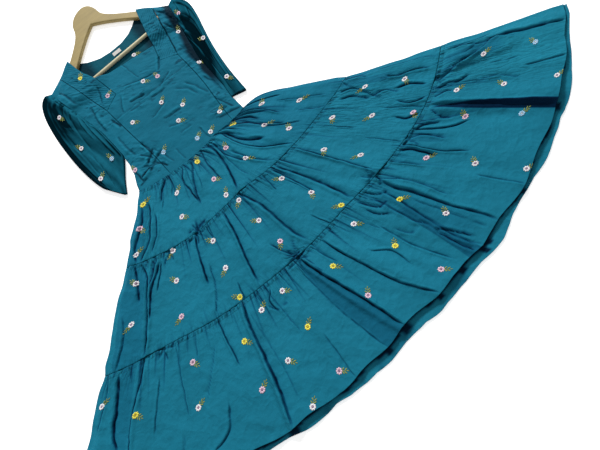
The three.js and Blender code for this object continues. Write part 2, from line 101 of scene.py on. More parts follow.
class DressColours(bpy.types.PropertyGroup):
    """Colours of the dress, the thread and the wood."""

    teal: colour("Teal cotton", "Right side of the cloth", (0.0090, 0.152, 0.232))
    shade: colour("Shaded teal", "Wrong side of the cloth, and cloth in its own shade",
                  (0.0055, 0.088, 0.125))
    # A little paler than the front's teal: painted light against the shade it lies in beside the
    # front's hem.
    back: colour("Teal of the back", "Back of the skirt, lit less than its front",
                 (0.0095, 0.156, 0.236))
    # A darker teal than the rest of the cloth: painted shade of the bunched sleeves.
    sleeve: colour("Sleeve teal", "Bunched cloth of the sleeves", (0.0075, 0.098, 0.148))
    thread_white: colour("White thread", "Embroidery", (0.85, 0.82, 0.84))
    thread_pink: colour("Pink thread", "Embroidery", (0.80, 0.55, 0.66))
    thread_yellow: colour("Yellow thread", "Embroidery", (0.90, 0.80, 0.07))
    thread_blue: colour("Pale blue thread", "Embroidery", (0.34, 0.58, 0.78))
    thread_green: colour("Green thread", "Embroidered leaves", (0.24, 0.29, 0.03))
    thread_mauve: colour("Mauve thread", "Middle of the pale flowers", (0.42, 0.20, 0.36))
    thread_orange: colour("Orange thread", "Middle of the yellow flowers", (0.70, 0.46, 0.02))
    wood: colour("Pale wood", "Hanger", (0.290, 0.222, 0.084))
    # Paler than the arms' wood: painted light on the bar, whose side toward the camera lies in
    # shade.
    bar: colour("Bar", "Paler wood of the hanger's bar", (0.56, 0.51, 0.33))
    label: colour("Label", "Bare woven label", (0.50, 0.49, 0.46))


def sizes():
    return bpy.context.scene.dress_sizes


def colours():
    return bpy.context.scene.dress_colours


# ---------------- small formulas

def mix(a, b, share):
    return a + (b - a) * share


def smooth(x):
    """0 below 0, 1 above 1, and an even S between."""
    x = np.clip(x, 0.0, 1.0)
    return x * x * (3.0 - 2.0 * x)


def hump(distance, reach):
    """1 at no distance, falling off as a bell."""
    return np.exp(-(distance / reach) ** 2)


def along_curve(values, share):
    """Smooth curve through evenly spread values: each span is a cubic whose slopes are half the
    difference of its neighbours, with straight-line neighbours past the ends."""
    values = np.asarray(values, float)
    last = len(values) - 1
    place = np.clip(share, 0.0, 1.0) * last
    i = np.minimum(place.astype(int), last - 1)
    f = place - i
    a, b = values[i], values[i + 1]
    before = np.where(i > 0, values[np.maximum(i - 1, 0)], 2 * a - b)
    after = np.where(i + 2 <= last, values[np.minimum(i + 2, last)], 2 * b - a)
    bend = (2 * before - 5 * a + 4 * b - after) * f ** 2 + (3 * a - before - 3 * b + after) * f ** 3
    return 0.5 * (2 * a + (b - before) * f + bend)


def soft_noise(x, y, size, seed):
    """Smooth noise from -1 to 1: random values on a square lattice of that size in millimetres,
    blended between the four nearest with an even S each way."""
    lattice = np.random.default_rng(seed).uniform(-1.0, 1.0, (64, 64))
    u, v = x / size + 1000.0, y / size + 1000.0
    i, j = np.floor(u).astype(int), np.floor(v).astype(int)
    f, g = smooth(u - i), smooth(v - j)
    i0, i1, j0, j1 = i % 64, (i + 1) % 64, j % 64, (j + 1) % 64
    near, far = (mix(lattice[i0, j], lattice[i1, j], f) for j in (j0, j1))
    return mix(near, far, g)


def facets(x, y, size, seed):
    """Crumpled noise from -1 to 1: a lattice of random heights, its plan shifted about by smooth
    noise, each square split into two flat triangles, so that it folds along crisp lines."""
    x = x + 0.5 * size * soft_noise(x, y, 1.9 * size, seed + 500)
    y = y + 0.5 * size * soft_noise(x, y, 1.7 * size, seed + 600)
    lattice = np.random.default_rng(seed).uniform(-1.0, 1.0, (64, 64))
    u, v = x / size + 1000.0 + 0.37 * y / size, y / size + 1000.0
    i, j = np.floor(u).astype(int), np.floor(v).astype(int)
    f, g = u - i, v - j
    i0, i1, j0, j1 = i % 64, (i + 1) % 64, j % 64, (j + 1) % 64
    a, b, c, d = lattice[i0, j0], lattice[i1, j0], lattice[i0, j1], lattice[i1, j1]
    return np.where(f + g < 1, a + f * (b - a) + g * (c - a),
                    d + (1 - f) * (c - d) + (1 - g) * (b - d))


def crease_profile(s):
    """Section of a crease at s widths from its line: how deep the trough is, from 0 to 1, steep on
    the negative side and soft on the positive one, and the ridge beside its steep side."""
    steep = np.exp(-(s / 0.8) ** 2)
    soft = 0.6 * np.exp(-(s / 1.1) ** 2) + 0.4 * np.exp(-(s / 4.0) ** 2)
    trough = np.where(s < 0, steep, soft)
    return trough, np.exp(-((s + 2.6) / 1.6) ** 2)


RIDGE = 0.55  # height of the ridge beside a crease, against the crease's depth
CREASE_WIDTH = 0.48  # width of a drawn crease's sharp line, against the width in its table
LEAST_WIDTH, MOST_WIDTH = 0.8, 2.6  # millimetres
RIDGE_LIGHT = 0.36  # painted highlight on the top of a crease's ridge, taken off its painted shade
FLANK_SHADE = 0.15  # how dark the painted shade on the soft flank of a crease is, against its line
FLANK_REACH = 3.6  # how far that painted shade runs, in widths
CREASE_REACH = 9.0  # how far from its line a crease is worked out, in widths


def nearest_on_line(line, px, py):
    """Distance from places to the nearest span of a line in plan, positive to the left of the
    line's run, and how far along the line that is, from 0 to 1."""
    best = np.full(px.shape, np.inf)
    signed, along = np.zeros_like(px), np.zeros_like(px)
    spans = np.hypot(*np.diff(line, axis=0).T)
    total, done = spans.sum(), 0.0
    for (ax, ay), (bx, by), span in zip(line[:-1], line[1:], spans):
        dx, dy = (bx - ax) / span, (by - ay) / span
        t = np.clip((px - ax) * dx + (py - ay) * dy, 0.0, span)
        ox, oy = px - ax - t * dx, py - ay - t * dy
        distance = ox * ox + oy * oy
        closer = distance < best
        best = np.where(closer, distance, best)
        signed = np.where(closer, np.sign(dx * oy - dy * ox) * np.sqrt(distance), signed)
        along = np.where(closer, (done + t) / total, along)
        done += span
    return signed, along


def lay_creases(x, y, creases, wander=0.0):
    """Relief, painted shade and painted highlights on the ridges of creases drawn in plan. Each is
    a
    row: its line as plan points, its width, its depth, how dark the painted shade of its bottom is,
    and which side (+1 or -1, from the left of the line's run) has the soft flank. Creases fade out
    toward both ends, and wander strays them from their lines, in millimetres."""
    relief, dark, lit = (np.zeros_like(x) for _ in range(3))
    for line, width, depth, darkness, soft_side in creases:
        line = np.reshape(line, (-1, 2)).astype(float)
        width = min(MOST_WIDTH, max(LEAST_WIDTH, width * CREASE_WIDTH))
        margin = width * CREASE_REACH
        low, high = line.min(axis=0) - margin, line.max(axis=0) + margin
        near = (x > low[0]) & (x < high[0]) & (y > low[1]) & (y < high[1])
        if not near.any():
            continue
        px, py = x[near], y[near]
        signed, along = nearest_on_line(line, px, py)
        s = (signed + wander * facets(px, py, 13, 401)) * soft_side / width
        fade = smooth(along * 7.0 + 0.2) * smooth((1.0 - along) * 7.0 + 0.2)
        fade = fade * np.clip(0.95 + 0.28 * soft_noise(px, py, 11, 402), 0, 1.05)
        trough, ridge = crease_profile(s)
        flank = FLANK_SHADE * np.exp(-(np.maximum(s, 0) / FLANK_REACH) ** 2) * (s > 0)
        relief[near] += depth * fade * (RIDGE * ridge - trough)
        lit[near] = np.maximum(lit[near], RIDGE_LIGHT * darkness * fade * ridge)
        dark[near] = np.maximum(dark[near], darkness * fade * np.maximum(np.exp(-s ** 4), flank))
    return relief, dark, lit


def less_lit(dark, lit):
    """Painted shade with the painted highlights of the ridges taken off where the cloth isn't dark
    already.
    """
    return dark - lit * np.clip(1 - 2.5 * dark, 0, 1)


def kept_above(z, floor, softness):
    """Heights bent smoothly so that none is below a floor."""
    return floor + softness * np.logaddexp(0, (z - floor) / softness)


# ---------------- walls of the cloth

BACK_TOP = 1.5  # upper face of the back layer's solid
FRONT_REST = 3.3  # outer face of a front piece lying on the back
LOWEST_FRONT = 3.1  # lowest that a crease takes the outer face of a front piece
SEAM_GAP = 0.3  # from a piece's edge to the seam

# ---------------- skirt: its plan

FAN_APEX_Y = 130.0  # the skirt spreads as a fan from this point on the dress's middle line
WAIST_SPREAD = 8  # how quickly the gathers let the sides out just below the waist
SKIRT_RIBS = {  # distance of each line across from the apex, in even steps from -X to +X
    "waist": [207, 185, 169, 160, 156, 157, 161, 183, 209],
    "seam1": [385, 355, 333, 312, 304, 322, 348, 387, 449],
    "seam2": [610, 550, 520, 502, 502, 516, 558, 615, 665],
    "hem": [862, 808, 775, 753, 745, 773, 824, 878, 937],
    "back_hem": [876, 823, 789, 771, 768, 798, 837, 901, 944],
}
SIDE_SEAMS = {  # degrees from straight down the skirt: left and right
    "waist": (-49, 48), "seam1": (-46, 56), "seam2": (-45.5, 59), "hem": (-46, 61),
    "back_hem": (-46, 61),
}
HEM_WAVES = {"hem": (11, 2.4, 0.6), "back_hem": (9, 2.4, 2.0)}  # waves, height, start


def skirt_frame(upper, lower, share, down):
    """Angle across the fan in radians, and distance from its apex."""
    spread = 1 - (1 - down) ** WAIST_SPREAD if upper == "waist" else down
    left = mix(SIDE_SEAMS[upper][0], SIDE_SEAMS[lower][0], spread)
    right = mix(SIDE_SEAMS[upper][1], SIDE_SEAMS[lower][1], spread)
    waves, height, start = HEM_WAVES.get(lower, (0, 0.0, 0.0))
    wave = height * np.sin(2 * np.pi * waves * share + start) * down ** 4
    reach = mix(along_curve(SKIRT_RIBS[upper], share), along_curve(SKIRT_RIBS[lower], share), down)
    return np.radians(mix(left, right, share)), reach + wave, np.radians(right - left)


def skirt_plan(upper, lower, share, down):
    """Plan place between two lines across: share runs from -X to +X, down from upper to lower."""
    angle, reach, _ = skirt_frame(upper, lower, share, down)
    return reach * np.sin(angle), FAN_APEX_Y - reach * np.cos(angle)


def tier_length(upper, lower, share):
    """Length of a tier down the cloth, in millimetres."""
    return along_curve(SKIRT_RIBS[lower], share) - along_curve(SKIRT_RIBS[upper], share)


# ---------------- skirt: its folds

TIERS = [
    {"piece": "front_tier_1_cloth", "node": "front_tier_1", "span": ("waist", "seam1"),
     "gathers": 16, "pucker": 2.6, "flute": 2.2, "loft_top": 1.5, "loft_foot": 4, "seed": 0.7,
     "columns": 340, "rows": 34, "bunched": (0.06, 0.05), "fine": 62, "cut": (0.62, 0.185)},
    {"piece": "front_tier_2_cloth", "node": "front_tier_2", "span": ("seam1", "seam2"),
     "gathers": 26, "pucker": 3.0, "flute": 3.4, "loft_top": 4, "loft_foot": 4, "seed": 2.1,
     "columns": 460, "rows": 36, "bunched": (0.90, 0.16), "fine": 92, "cut": (1.03, 0.225)},
    {"piece": "front_tier_3_cloth", "node": "front_tier_3", "span": ("seam2", "hem"),
     "gathers": 36, "pucker": 3.2, "flute": 6.5, "loft_top": 4, "loft_foot": 7, "seed": 4.4,
     "columns": 560, "rows": 48, "bunched": (0.93, 0.08), "fine": 120, "cut": (1.56, 0.275)},
]
SIDE_FALL = 0.018  # share of the width over which the front comes down to the side seam
UNEVEN_SPACING = [(3, 0.55), (7, 0.3), (11, 0.17)]  # how the gathers crowd: waves, shift
LONG_FOLDS = [  # tier, share at its top and foot, from and to down the tier, width, height
    (0, 0.60, 0.485, 0.0, 1.0, 0.035, 4), (0, 0.68, 0.57, 0.0, 0.9, 0.03, 3),
    (0, 0.74, 0.75, 0.05, 0.95, 0.05, 5), (0, 0.91, 0.86, 0.05, 0.6, 0.04, 4),
    (0, 0.37, 0.32, 0.0, 0.7, 0.03, 3), (1, 0.07, 0.075, 0.1, 1.0, 0.03, 6),
    (1, 0.25, 0.245, 0.0, 0.65, 0.025, 4), (1, 0.38, 0.36, 0.1, 0.9, 0.03, 5),
    (1, 0.74, 0.715, 0.05, 1.0, 0.035, 5), (1, 0.96, 0.9, 0.0, 0.6, 0.04, 5),
    (2, 0.072, 0.066, 0.0, 1.0, 0.025, 7), (2, 0.305, 0.302, 0.0, 1.0, 0.03, 9),
    (2, 0.455, 0.49, 0.05, 1.0, 0.022, 10), (2, 0.53, 0.56, 0.08, 1.0, 0.03, 6),
    (2, 0.70, 0.705, 0.0, 0.6, 0.03, 5), (2, 0.862, 0.863, 0.0, 1.0, 0.05, 12),
    (2, 0.94, 0.975, 0.05, 0.7, 0.03, 8),
]
STEEP_SIDE = 0.25  # a long fold's steep side, against its gentle side

# The main creases: tier, places as thousandths across and hundredths down in turn, width, depth,
# darkness of their painted shade, and the side of the soft flank (+1 toward +X).
MAIN_CREASES = [
    (0, (598, 0, 540, 45, 485, 97), 6.4, 3.4, 0.85, 1),
    (0, (682, 0, 612, 20, 570, 41, 560, 70, 568, 90), 2.6, 2.0, 0.45, 1),
    (0, (352, 0, 320, 28, 315, 69), 2.2, 1.6, 0.45, -1), (0, (395, 0, 362, 53), 1.8, 1.2, 0.35, 1),
    (0, (290, 4, 275, 33, 278, 54), 2.0, 1.4, 0.4, 1), (0, (225, 0, 188, 29), 2.0, 1.2, 0.4, 1),
    (0, (455, 2, 398, 30), 1.8, 1.2, 0.35, -1),
    (0, (50, 20, 62, 32, 72, 57, 70, 77, 45, 100), 5.6, 3.4, 0.9, -1),
    (0, (735, 4, 690, 24, 680, 42, 700, 66, 738, 85, 756, 97), 3.4, 3.0, 0.75, 1),
    (0, (915, 3, 900, 28, 878, 56), 2.6, 2.2, 0.6, 1),
    (0, (838, 12, 820, 33, 807, 50, 822, 68, 850, 86), 2.4, 2.0, 0.55, -1),
    (0, (938, 40, 942, 60, 948, 90), 2.0, 1.6, 0.45, 1),
    (0, (890, 72, 905, 100), 2.2, 1.8, 0.5, 1),
    (0, (228, 93, 262, 95.5, 300, 94, 334, 96.5), 3.0, 2.2, 0.85, 1),
    (0, (18, 22, 30, 50, 20, 78, 35, 100), 5.0, 3.2, 0.85, 1),
    (0, (92, 42, 104, 66, 86, 92), 4.0, 2.6, 0.65, -1), (0, (150, 3, 132, 40), 1.8, 1.2, 0.35, 1),
    (0, (520, 1, 470, 36), 1.6, 1.0, 0.3, 1), (0, (640, 2, 585, 30), 1.6, 1.1, 0.35, -1),
    (0, (780, 2, 745, 32), 2.0, 1.4, 0.4, 1), (0, (965, 5, 968, 40), 2.0, 1.4, 0.5, -1),
    (0, (800, 5, 818, 22, 818, 45, 835, 70), 4.6, 3.4, 0.85, 1),
    (0, (735, 9, 706, 30, 712, 45, 748, 62), 4.4, 3.2, 0.7, -1),
    (0, (640, 0, 583, 30, 610, 65), 4.0, 3.0, 0.65, 1),
    (0, (535, 0, 470, 24, 464, 64), 4.0, 2.8, 0.6, -1),
    (0, (188, 2, 140, 14, 126, 30), 4.0, 2.8, 0.8, 1),
    (0, (618, 37, 635, 70, 670, 96), 3.6, 2.6, 0.5, 1),
    (0, (340, 0, 282, 20, 300, 45, 318, 66), 4.4, 3.0, 0.8, -1),
    (0, (422, 0, 335, 34, 318, 70), 4.0, 2.8, 0.7, 1),
    (0, (860, 2, 858, 20, 846, 36), 3.6, 2.6, 0.7, -1),
    (1, (28, 0, 46, 18, 58, 42), 5.0, 3.2, 0.85, 1),
    (1, (104, 0, 96, 15, 89, 30), 4.4, 2.8, 0.8, -1),
    (1, (20, 50, 30, 72, 22, 100), 3.6, 2.4, 0.5, 1),
    (1, (480, 0, 494, 15, 503, 32, 500, 71, 506, 94), 8.0, 4.6, 1.0, 1),
    (1, (48, 0, 78, 20, 82, 50, 83, 78, 78, 100), 8.0, 4.6, 1.0, -1),
    (1, (118, 8, 95, 33, 90, 66), 4.0, 2.6, 0.75, 1),
    (1, (386, 0, 380, 32, 365, 66, 358, 95), 4.6, 3.6, 0.75, 1),
    (1, (258, 0, 250, 17, 247, 62), 4.4, 3.2, 0.8, 1), (1, (302, 0, 311, 20), 2.4, 1.8, 0.6, -1),
    (1, (650, 1, 653, 30, 652, 57, 642, 98), 7.6, 4.4, 0.98, 1),
    (1, (593, 0, 573, 28), 2.8, 2.0, 0.5, 1), (1, (630, 2, 628, 30, 622, 62), 4.0, 2.8, 0.65, 1),
    (1, (620, 25, 617, 58), 1.8, 1.2, 0.35, -1), (1, (122, 10, 109, 40), 2.4, 1.8, 0.6, 1),
    (1, (178, 0, 150, 6, 128, 14), 2.6, 2.0, 0.6, 1),
    (1, (268, 42, 262, 68, 242, 95), 2.4, 2.0, 0.5, 1),
    (1, (738, 2, 728, 50, 716, 97), 3.0, 2.6, 0.6, 1),
    (1, (978, 0, 945, 22, 905, 56), 2.6, 2.2, 0.55, -1), (1, (960, 36, 964, 88), 2.2, 1.6, 0.5, 1),
    (1, (992, 33, 986, 81, 976, 100), 2.4, 1.6, 0.5, 1),
    (1, (315, 80, 313, 100), 2.4, 2.0, 0.6, 1),
    (1, (435, 70, 458, 95.5, 478, 96.5), 3.0, 2.4, 0.85, 1),
    (1, (835, 3, 826, 45), 2.0, 1.6, 0.4, 1), (1, (560, 78, 566, 100), 2.0, 1.4, 0.45, -1),
    (1, (800, 62, 792, 100), 2.2, 1.6, 0.5, 1), (1, (880, 60, 872, 100), 2.6, 2.2, 0.6, 1),
    (1, (968, 46, 958, 61, 963, 72, 960, 92), 4.0, 3.0, 0.75, 1),
    (1, (985, 2, 985, 17, 975, 26), 4.0, 2.8, 0.75, 1),
    (1, (927, 63, 930, 76, 922, 93), 4.0, 2.8, 0.75, -1),
    (1, (917, 42, 927, 53, 915, 69), 3.6, 2.6, 0.65, 1),
    (1, (920, 11, 927, 21, 912, 41), 3.6, 2.6, 0.65, -1),
    (1, (895, 70, 885, 84, 893, 97), 4.0, 2.8, 0.8, 1),
    (1, (855, 76, 848, 88, 858, 98), 3.6, 2.6, 0.75, -1),
    (1, (945, 5, 950, 16, 940, 30), 3.6, 2.4, 0.6, 1),
    (2, (10, 2, 14, 22, 10, 44), 3.6, 2.4, 0.5, -1),
    (2, (680, 13, 662.5, 44, 647.5, 74, 642.5, 98), 5.0, 3.4, 0.6, 1),
    (2, (460, 0, 468, 20, 487, 59, 497, 100), 4.2, 6.5, 0.97, -1),
    (2, (452, 2, 446, 12, 449, 56, 460, 100), 1.8, 1.6, 0.5, -1),
    (2, (522, 2, 530, 30, 542, 71, 560, 100), 3.0, 3.4, 0.7, -1),
    (2, (497, 1, 509, 27), 2.4, 1.8, 0.5, 1),
    (2, (312, 0, 302, 13, 304, 42, 305, 72, 300, 100), 7.4, 4.8, 1.0, 1),
    (2, (700, 4, 692, 20, 693, 34, 688, 60, 688, 85, 685, 100), 4.6, 3.6, 0.62, -1),
    (2, (680, 36, 676, 66, 672, 96), 3.0, 2.0, 0.35, -1),
    (2, (655, 10, 655, 21, 645, 48, 647, 59, 640, 72), 4.6, 3.8, 0.6, 1),
    (2, (640, 69, 636, 85, 635, 100), 5.0, 4.0, 0.8, 1),
    (2, (643, 66, 650, 74, 655, 92), 3.4, 3.4, 0.9, -1),
    (2, (637, 4, 645, 21, 672, 20), 4.4, 3.4, 0.9, 1),
    (2, (628, 14, 630, 24, 642, 31), 3.6, 2.6, 0.7, -1),
    (2, (618, 42, 622, 54, 642, 56), 3.6, 2.6, 0.55, 1),
    (2, (706, 0, 700, 5, 688, 9), 4.6, 2.6, 0.98, 1),
    (2, (662, 2, 668, 12, 684, 16), 3.6, 2.6, 0.6, -1),
    (2, (610, 30, 606, 60, 612, 92), 3.2, 2.4, 0.4, 1),
    (2, (560, 40, 580, 52, 576, 70), 3.0, 2.0, 0.35, -1),
    (2, (225, 62, 216, 80, 190, 88), 3.6, 2.4, 0.45, 1),
    (2, (350, 16, 366, 24, 390, 22), 3.4, 2.6, 0.6, 1),
    (2, (372, 6, 358, 14, 362, 26), 3.4, 2.6, 0.6, -1),
    (2, (311, 10, 323, 55, 324, 90), 2.2, 1.4, 0.3, 1),
    (2, (241, 0, 249, 20, 259, 42), 2.6, 2.4, 0.6, 1), (2, (364, 6, 376, 48), 2.2, 1.8, 0.4, 1),
    (2, (223, 18, 193, 52), 2.2, 1.6, 0.35, -1),
    (2, (873, 2, 868, 30, 862, 60, 856, 100), 9.5, 5.0, 0.2, -1),
    (2, (785, 0, 785, 12, 780, 28, 783, 52), 3.0, 3.0, 0.75, 1),
    (2, (822, 0, 825, 23, 839, 40), 2.8, 2.6, 0.7, -1),
    (2, (944, 3, 953, 21, 973, 36, 983, 42, 973, 62), 3.4, 3.4, 0.8, 1),
    (2, (990, 2, 988, 24, 992, 40), 3.0, 2.4, 0.7, 1), (2, (982, 78, 974, 100), 2.4, 2.0, 0.5, 1),
    (2, (968, 6, 970, 20, 981, 32), 2.2, 1.8, 0.5, -1), (2, (938, 42, 938, 64), 2.2, 1.4, 0.4, 1),
    (2, (80, 0, 74, 21, 66, 43, 68, 70), 7.4, 4.2, 1.0, -1),
    (2, (30, 3, 37, 29, 37, 47, 50, 64), 7.0, 4.0, 1.0, 1),
    (2, (111, 22, 104, 60), 2.2, 1.6, 0.35, 1), (2, (144, 0, 160, 58), 2.6, 2.0, 0.45, -1),
    (2, (698, 0, 713, 23, 704, 58), 3.0, 2.6, 0.6, 1), (2, (404, 0, 410, 20), 2.2, 1.6, 0.5, 1),
    (2, (600, 0, 606, 34), 2.4, 1.8, 0.45, 1), (2, (650, 0, 655, 22), 2.2, 1.6, 0.5, -1),
    (2, (745, 0, 748, 26), 2.4, 2.0, 0.55, 1), (2, (905, 0, 912, 20, 908, 44), 2.8, 2.4, 0.6, 1),
    (2, (566, 0, 572, 18), 2.2, 1.6, 0.5, -1), (2, (335, 0, 345, 16), 2.0, 1.4, 0.45, 1),
    (2, (190, 0, 186, 20), 2.0, 1.4, 0.4, -1), (2, (640, 72, 646, 100), 3.0, 2.0, 0.35, 1),
    (2, (405, 62, 402, 100), 3.0, 1.8, 0.3, -1), (2, (745, 66, 742, 100), 3.4, 2.2, 0.4, 1),
    (2, (150, 70, 146, 100), 3.0, 1.8, 0.3, 1), (2, (920, 70, 924, 100), 3.2, 2.0, 0.4, -1),
    (2, (983, 46, 980, 64, 978, 84, 975, 100), 4.6, 3.4, 0.8, -1),
    (2, (922, 3, 940, 11, 955, 19, 960, 27, 975, 32), 4.4, 3.6, 0.8, 1),
    (2, (902, 5, 915, 12, 915, 20, 925, 28), 4.0, 3.0, 0.75, -1),
    (2, (983, 10, 985, 18, 978, 33, 983, 46), 4.0, 3.0, 0.75, 1),
    (2, (888, 5, 897, 13, 895, 18), 4.0, 2.8, 0.85, 1),
    (2, (820, 3, 833, 8, 838, 18), 4.0, 3.0, 0.85, -1),
    (2, (802, 3, 812, 12, 805, 30), 4.0, 3.0, 0.75, 1),
    (2, (772, 2, 777, 12, 770, 31), 4.0, 3.0, 0.75, -1),
    (2, (912, 37, 912, 53, 902, 69), 3.4, 2.4, 0.5, 1),
    (2, (863, 6, 848, 16, 845, 26), 4.0, 2.8, 0.8, 1),
]
# Pleats in painted shade: tier, middle share at the top and foot, half width at the top and foot,
# from and to down the tier, and how dark.
SHADED_BANDS = [
    (2, 0.4545, 0.4790, 0.0060, 0.0185, 0.04, 1.2, 0.36),
    (2, 0.8690, 0.8560, 0.0022, 0.0062, 0.05, 1.2, 0.97),
    (0, 0.030, 0.030, 0.022, 0.026, 0.05, 1.2, 0.22),
    (1, 0.038, 0.045, 0.030, 0.030, -0.1, 1.2, 0.22),
    (0, 0.714, 0.708, 0.006, 0.010, 0.12, 0.8, 0.25),
    (2, 0.664, 0.662, 0.022, 0.022, 0.06, 0.95, 0.16),
    (2, 0.672, 0.632, 0.004, 0.010, 0.3, 1.2, 0.42),
    (2, 0.962, 0.978, 0.008, 0.014, 0.02, 0.55, 0.30),
    (2, 0.806, 0.800, 0.010, 0.008, 0.0, 0.35, 0.22),
    (2, 0.050, 0.050, 0.014, 0.012, -0.1, 0.75, 0.22),
    (1, 0.968, 0.955, 0.010, 0.010, -0.1, 0.6, 0.25),
]
BAND_EDGE = 0.0016  # share of the width over which the edge of a band of painted shade is crisp
END_SHADE_AND_SHEEN = {0: (0.70, 0.12, 0.14), 2: (0.88, 0.06, -0.10)}  # tier: share from, over, and darker by, as painted shade (below 0: lighter, a painted sheen)
# Small crumples where a seam catches: tier, share, down, number of short creases, reach, how dark
# their painted shade is.
KNOTS = [
    (0, 0.268, 0.975, 7, 17, 0.95), (1, 0.262, 0.02, 6, 20, 0.9), (1, 0.457, 0.975, 8, 20, 0.97),
    (2, 0.462, 0.015, 7, 22, 0.95), (1, 0.150, 0.03, 5, 13, 0.7), (2, 0.800, 0.03, 6, 18, 0.8),
    (2, 0.930, 0.02, 6, 20, 0.8), (1, 0.700, 0.97, 5, 13, 0.7), (2, 0.118, 0.02, 5, 14, 0.7),
]
KNOT_WIDTH, KNOT_MIDDLE_WIDTH, KNOT_DEPTH = 4.6, 12.0, 2.4
DRAWN_DEPTH, DRAWN_DARKNESS = 1.25, 1.4  # against the main creases' table
GATHER_REACH = 34.0  # how far the small gathers run from a seam
GATHER_SHADE = 0.8  # how dark the painted shade in the small gathers is, against their depth


def of_tier(table, tier_index):
    """The rest of each row of a table that begins with that tier."""
    return [row[1:] for row in table if row[0] == tier_index]


def long_fold_height(tier_index, share, down):
    """Height of the highest long fold at a place: a bell across it, steep on its -X side, rising
    over its first part and running out at its end where it doesn't reach the seam."""
    highest = np.zeros_like(share)
    for top, foot, start, end, width, height in of_tier(LONG_FOLDS, tier_index):
        along = (down - start) / (end - start)
        off = share - mix(top, foot, down)
        reach = np.where(off > 0, width, width * STEEP_SIDE)
        run_out = smooth((1 - along) * 3) if end < 1 else 1.0
        fold = height * hump(off, reach) * smooth(along * 4 + 0.3) * run_out
        highest = np.maximum(highest, np.where((along >= 0) & (along <= 1), fold, 0.0))
    return highest


def seam_gathers(tier_index, share, down, width):
    """Small uneven gathers: each is a crease that starts at a seam and runs out down the cloth,
    with its own place, length, lean and depth, and painted shade in its trough. The hem has none."""
    tier = TIERS[tier_index]
    rng = np.random.default_rng(100 + tier_index)
    relief, dark = np.zeros_like(share), np.zeros_like(share)
    seams = [(down, tier["fine"], 0.62, 1.7)]  # how far from the seam, gathers, run, depth
    if tier["span"][1] != "hem":
        seams.append((1 - down, int(tier["fine"] * 0.75), 0.16, 0.8))
    for travelled, number, most_run, most_depth in seams:
        places = (np.arange(number) + rng.uniform(-0.8, 0.8, number)) / number
        runs = 0.05 + most_run * rng.random(number) ** 2.6
        depths = rng.uniform(0.35, 1.0, number) ** 1.5 * most_depth
        widths = rng.uniform(0.9, 1.7, number) * (0.85 + 0.7 * runs)
        leans = rng.normal(0.0, 0.018, number)
        sides = rng.choice([-1.0, 1.0], number)
        for place, run, depth, wide, lean, side in zip(places, runs, depths, widths, leans, sides):
            off = (share - place - lean * travelled) * width / wide
            near = (np.abs(off) < 7) & (travelled < run)
            if not near.any():
                continue
            fade = (1 - travelled[near] / run) ** 0.8 * smooth(travelled[near] / 0.012 + 0.35)
            trough, ridge = crease_profile(off[near] * side)
            relief[near] += depth * fade * (0.6 * ridge - trough)
            dark[near] = np.maximum(dark[near], GATHER_SHADE * depth * fade * trough ** 1.5)
    return relief, dark


def crease_course(places):
    """A crease's shares and downs, smoothed through its places."""
    share, down = (np.reshape(places, (-1, 2)) / (1000, 100)).T
    steps = np.linspace(0, 1, max(2, 6 * (len(share) - 1) + 1))
    return along_curve(share, steps), along_curve(down, steps)


def drawn_creases(tier_index):
    """A tier's main creases with their lines in plan."""
    span = TIERS[tier_index]["span"]
    return [(np.stack(skirt_plan(*span, *crease_course(places)), axis=1), width,
             DRAWN_DEPTH * depth, min(1.0, DRAWN_DARKNESS * darkness), side)
            for places, width, depth, darkness, side in of_tier(MAIN_CREASES, tier_index)]


def knot_creases(tier_index):
    """Short creases that run out from each knot like an uneven star, in plan, and one short dark
    fold in its middle."""
    rng, creases = np.random.default_rng(300 + tier_index), []
    for *place, number, reach, darkness in of_tier(KNOTS, tier_index):
        x, y = map(float, skirt_plan(*TIERS[tier_index]["span"], *map(np.array, place)))
        for turn in np.arange(number) * 2 * np.pi / number + rng.uniform(-0.35, 0.35, number):
            run, bend = reach * rng.uniform(0.7, 1.9), rng.uniform(-0.25, 0.25)
            middle = (x + 0.5 * run * np.cos(turn), y + 0.5 * run * np.sin(turn))
            end = (x + run * np.cos(turn + bend), y + run * np.sin(turn + bend))
            creases.append(([(x, y), middle, end], KNOT_WIDTH, KNOT_DEPTH,
                            darkness * rng.uniform(0.6, 1.0), rng.choice([-1, 1])))
        fold = [(x - 0.16 * reach, y - 0.10 * reach), (x, y), (x + 0.18 * reach, y + 0.08 * reach)]
        creases.append((fold, KNOT_MIDDLE_WIDTH, KNOT_DEPTH, darkness, 1))
    return creases


TOP_ROWS = [0, 1, 2.2, 3.6, 5.2, 6.8, 8.2, 9.2, 10.4, 12.2]  # of a tier's grid, from its top
FOOT_ROWS = [4.2, 2.2, 1.0, 0]  # up from its foot
BESIDE_LINE = [-3.4, -1.9, -0.8, 0.0, 0.8, 1.9, 3.4]  # columns beside a line they follow
COLUMN_GAP = 0.25  # least distance between two columns
LINE_GAP = 0.0035  # least share between two lines that the columns follow
BAND_WEIGHT = 6.0  # how much a band's edge counts against a crease
SHORT_CREASE = 0.15  # a crease that runs less far down has no columns of its own


def followed_lines(tier_index, downs):
    """Shares, at each of the downs, of the creases and band edges that a tier's columns run along:
    the strongest first, and each only if it keeps its distance from the others all the way."""
    wanted, lines = [], []
    for places, width, _, darkness, _ in of_tier(MAIN_CREASES, tier_index):
        share, down = crease_course(places)
        run = abs(down[-1] - down[0])
        if run > SHORT_CREASE:
            wanted.append((width * darkness * run, np.interp(downs, down, share)))
    for top, foot, half_top, half_foot, *_, darkness in of_tier(SHADED_BANDS, tier_index):
        middle, half = mix(top, foot, downs), mix(half_top, half_foot, downs)
        wanted += [(BAND_WEIGHT * darkness, edge) for edge in (middle - half, middle + half)]
    for _, line in sorted(wanted, key=lambda row: -row[0]):
        apart = all(np.all(line - other > LINE_GAP) or np.all(other - line > LINE_GAP)
                    for other in lines)
        if apart and line.min() > LINE_GAP and line.max() < 1 - LINE_GAP:
            lines.append(line)
    return np.array(sorted(lines, key=lambda line: line.mean()))


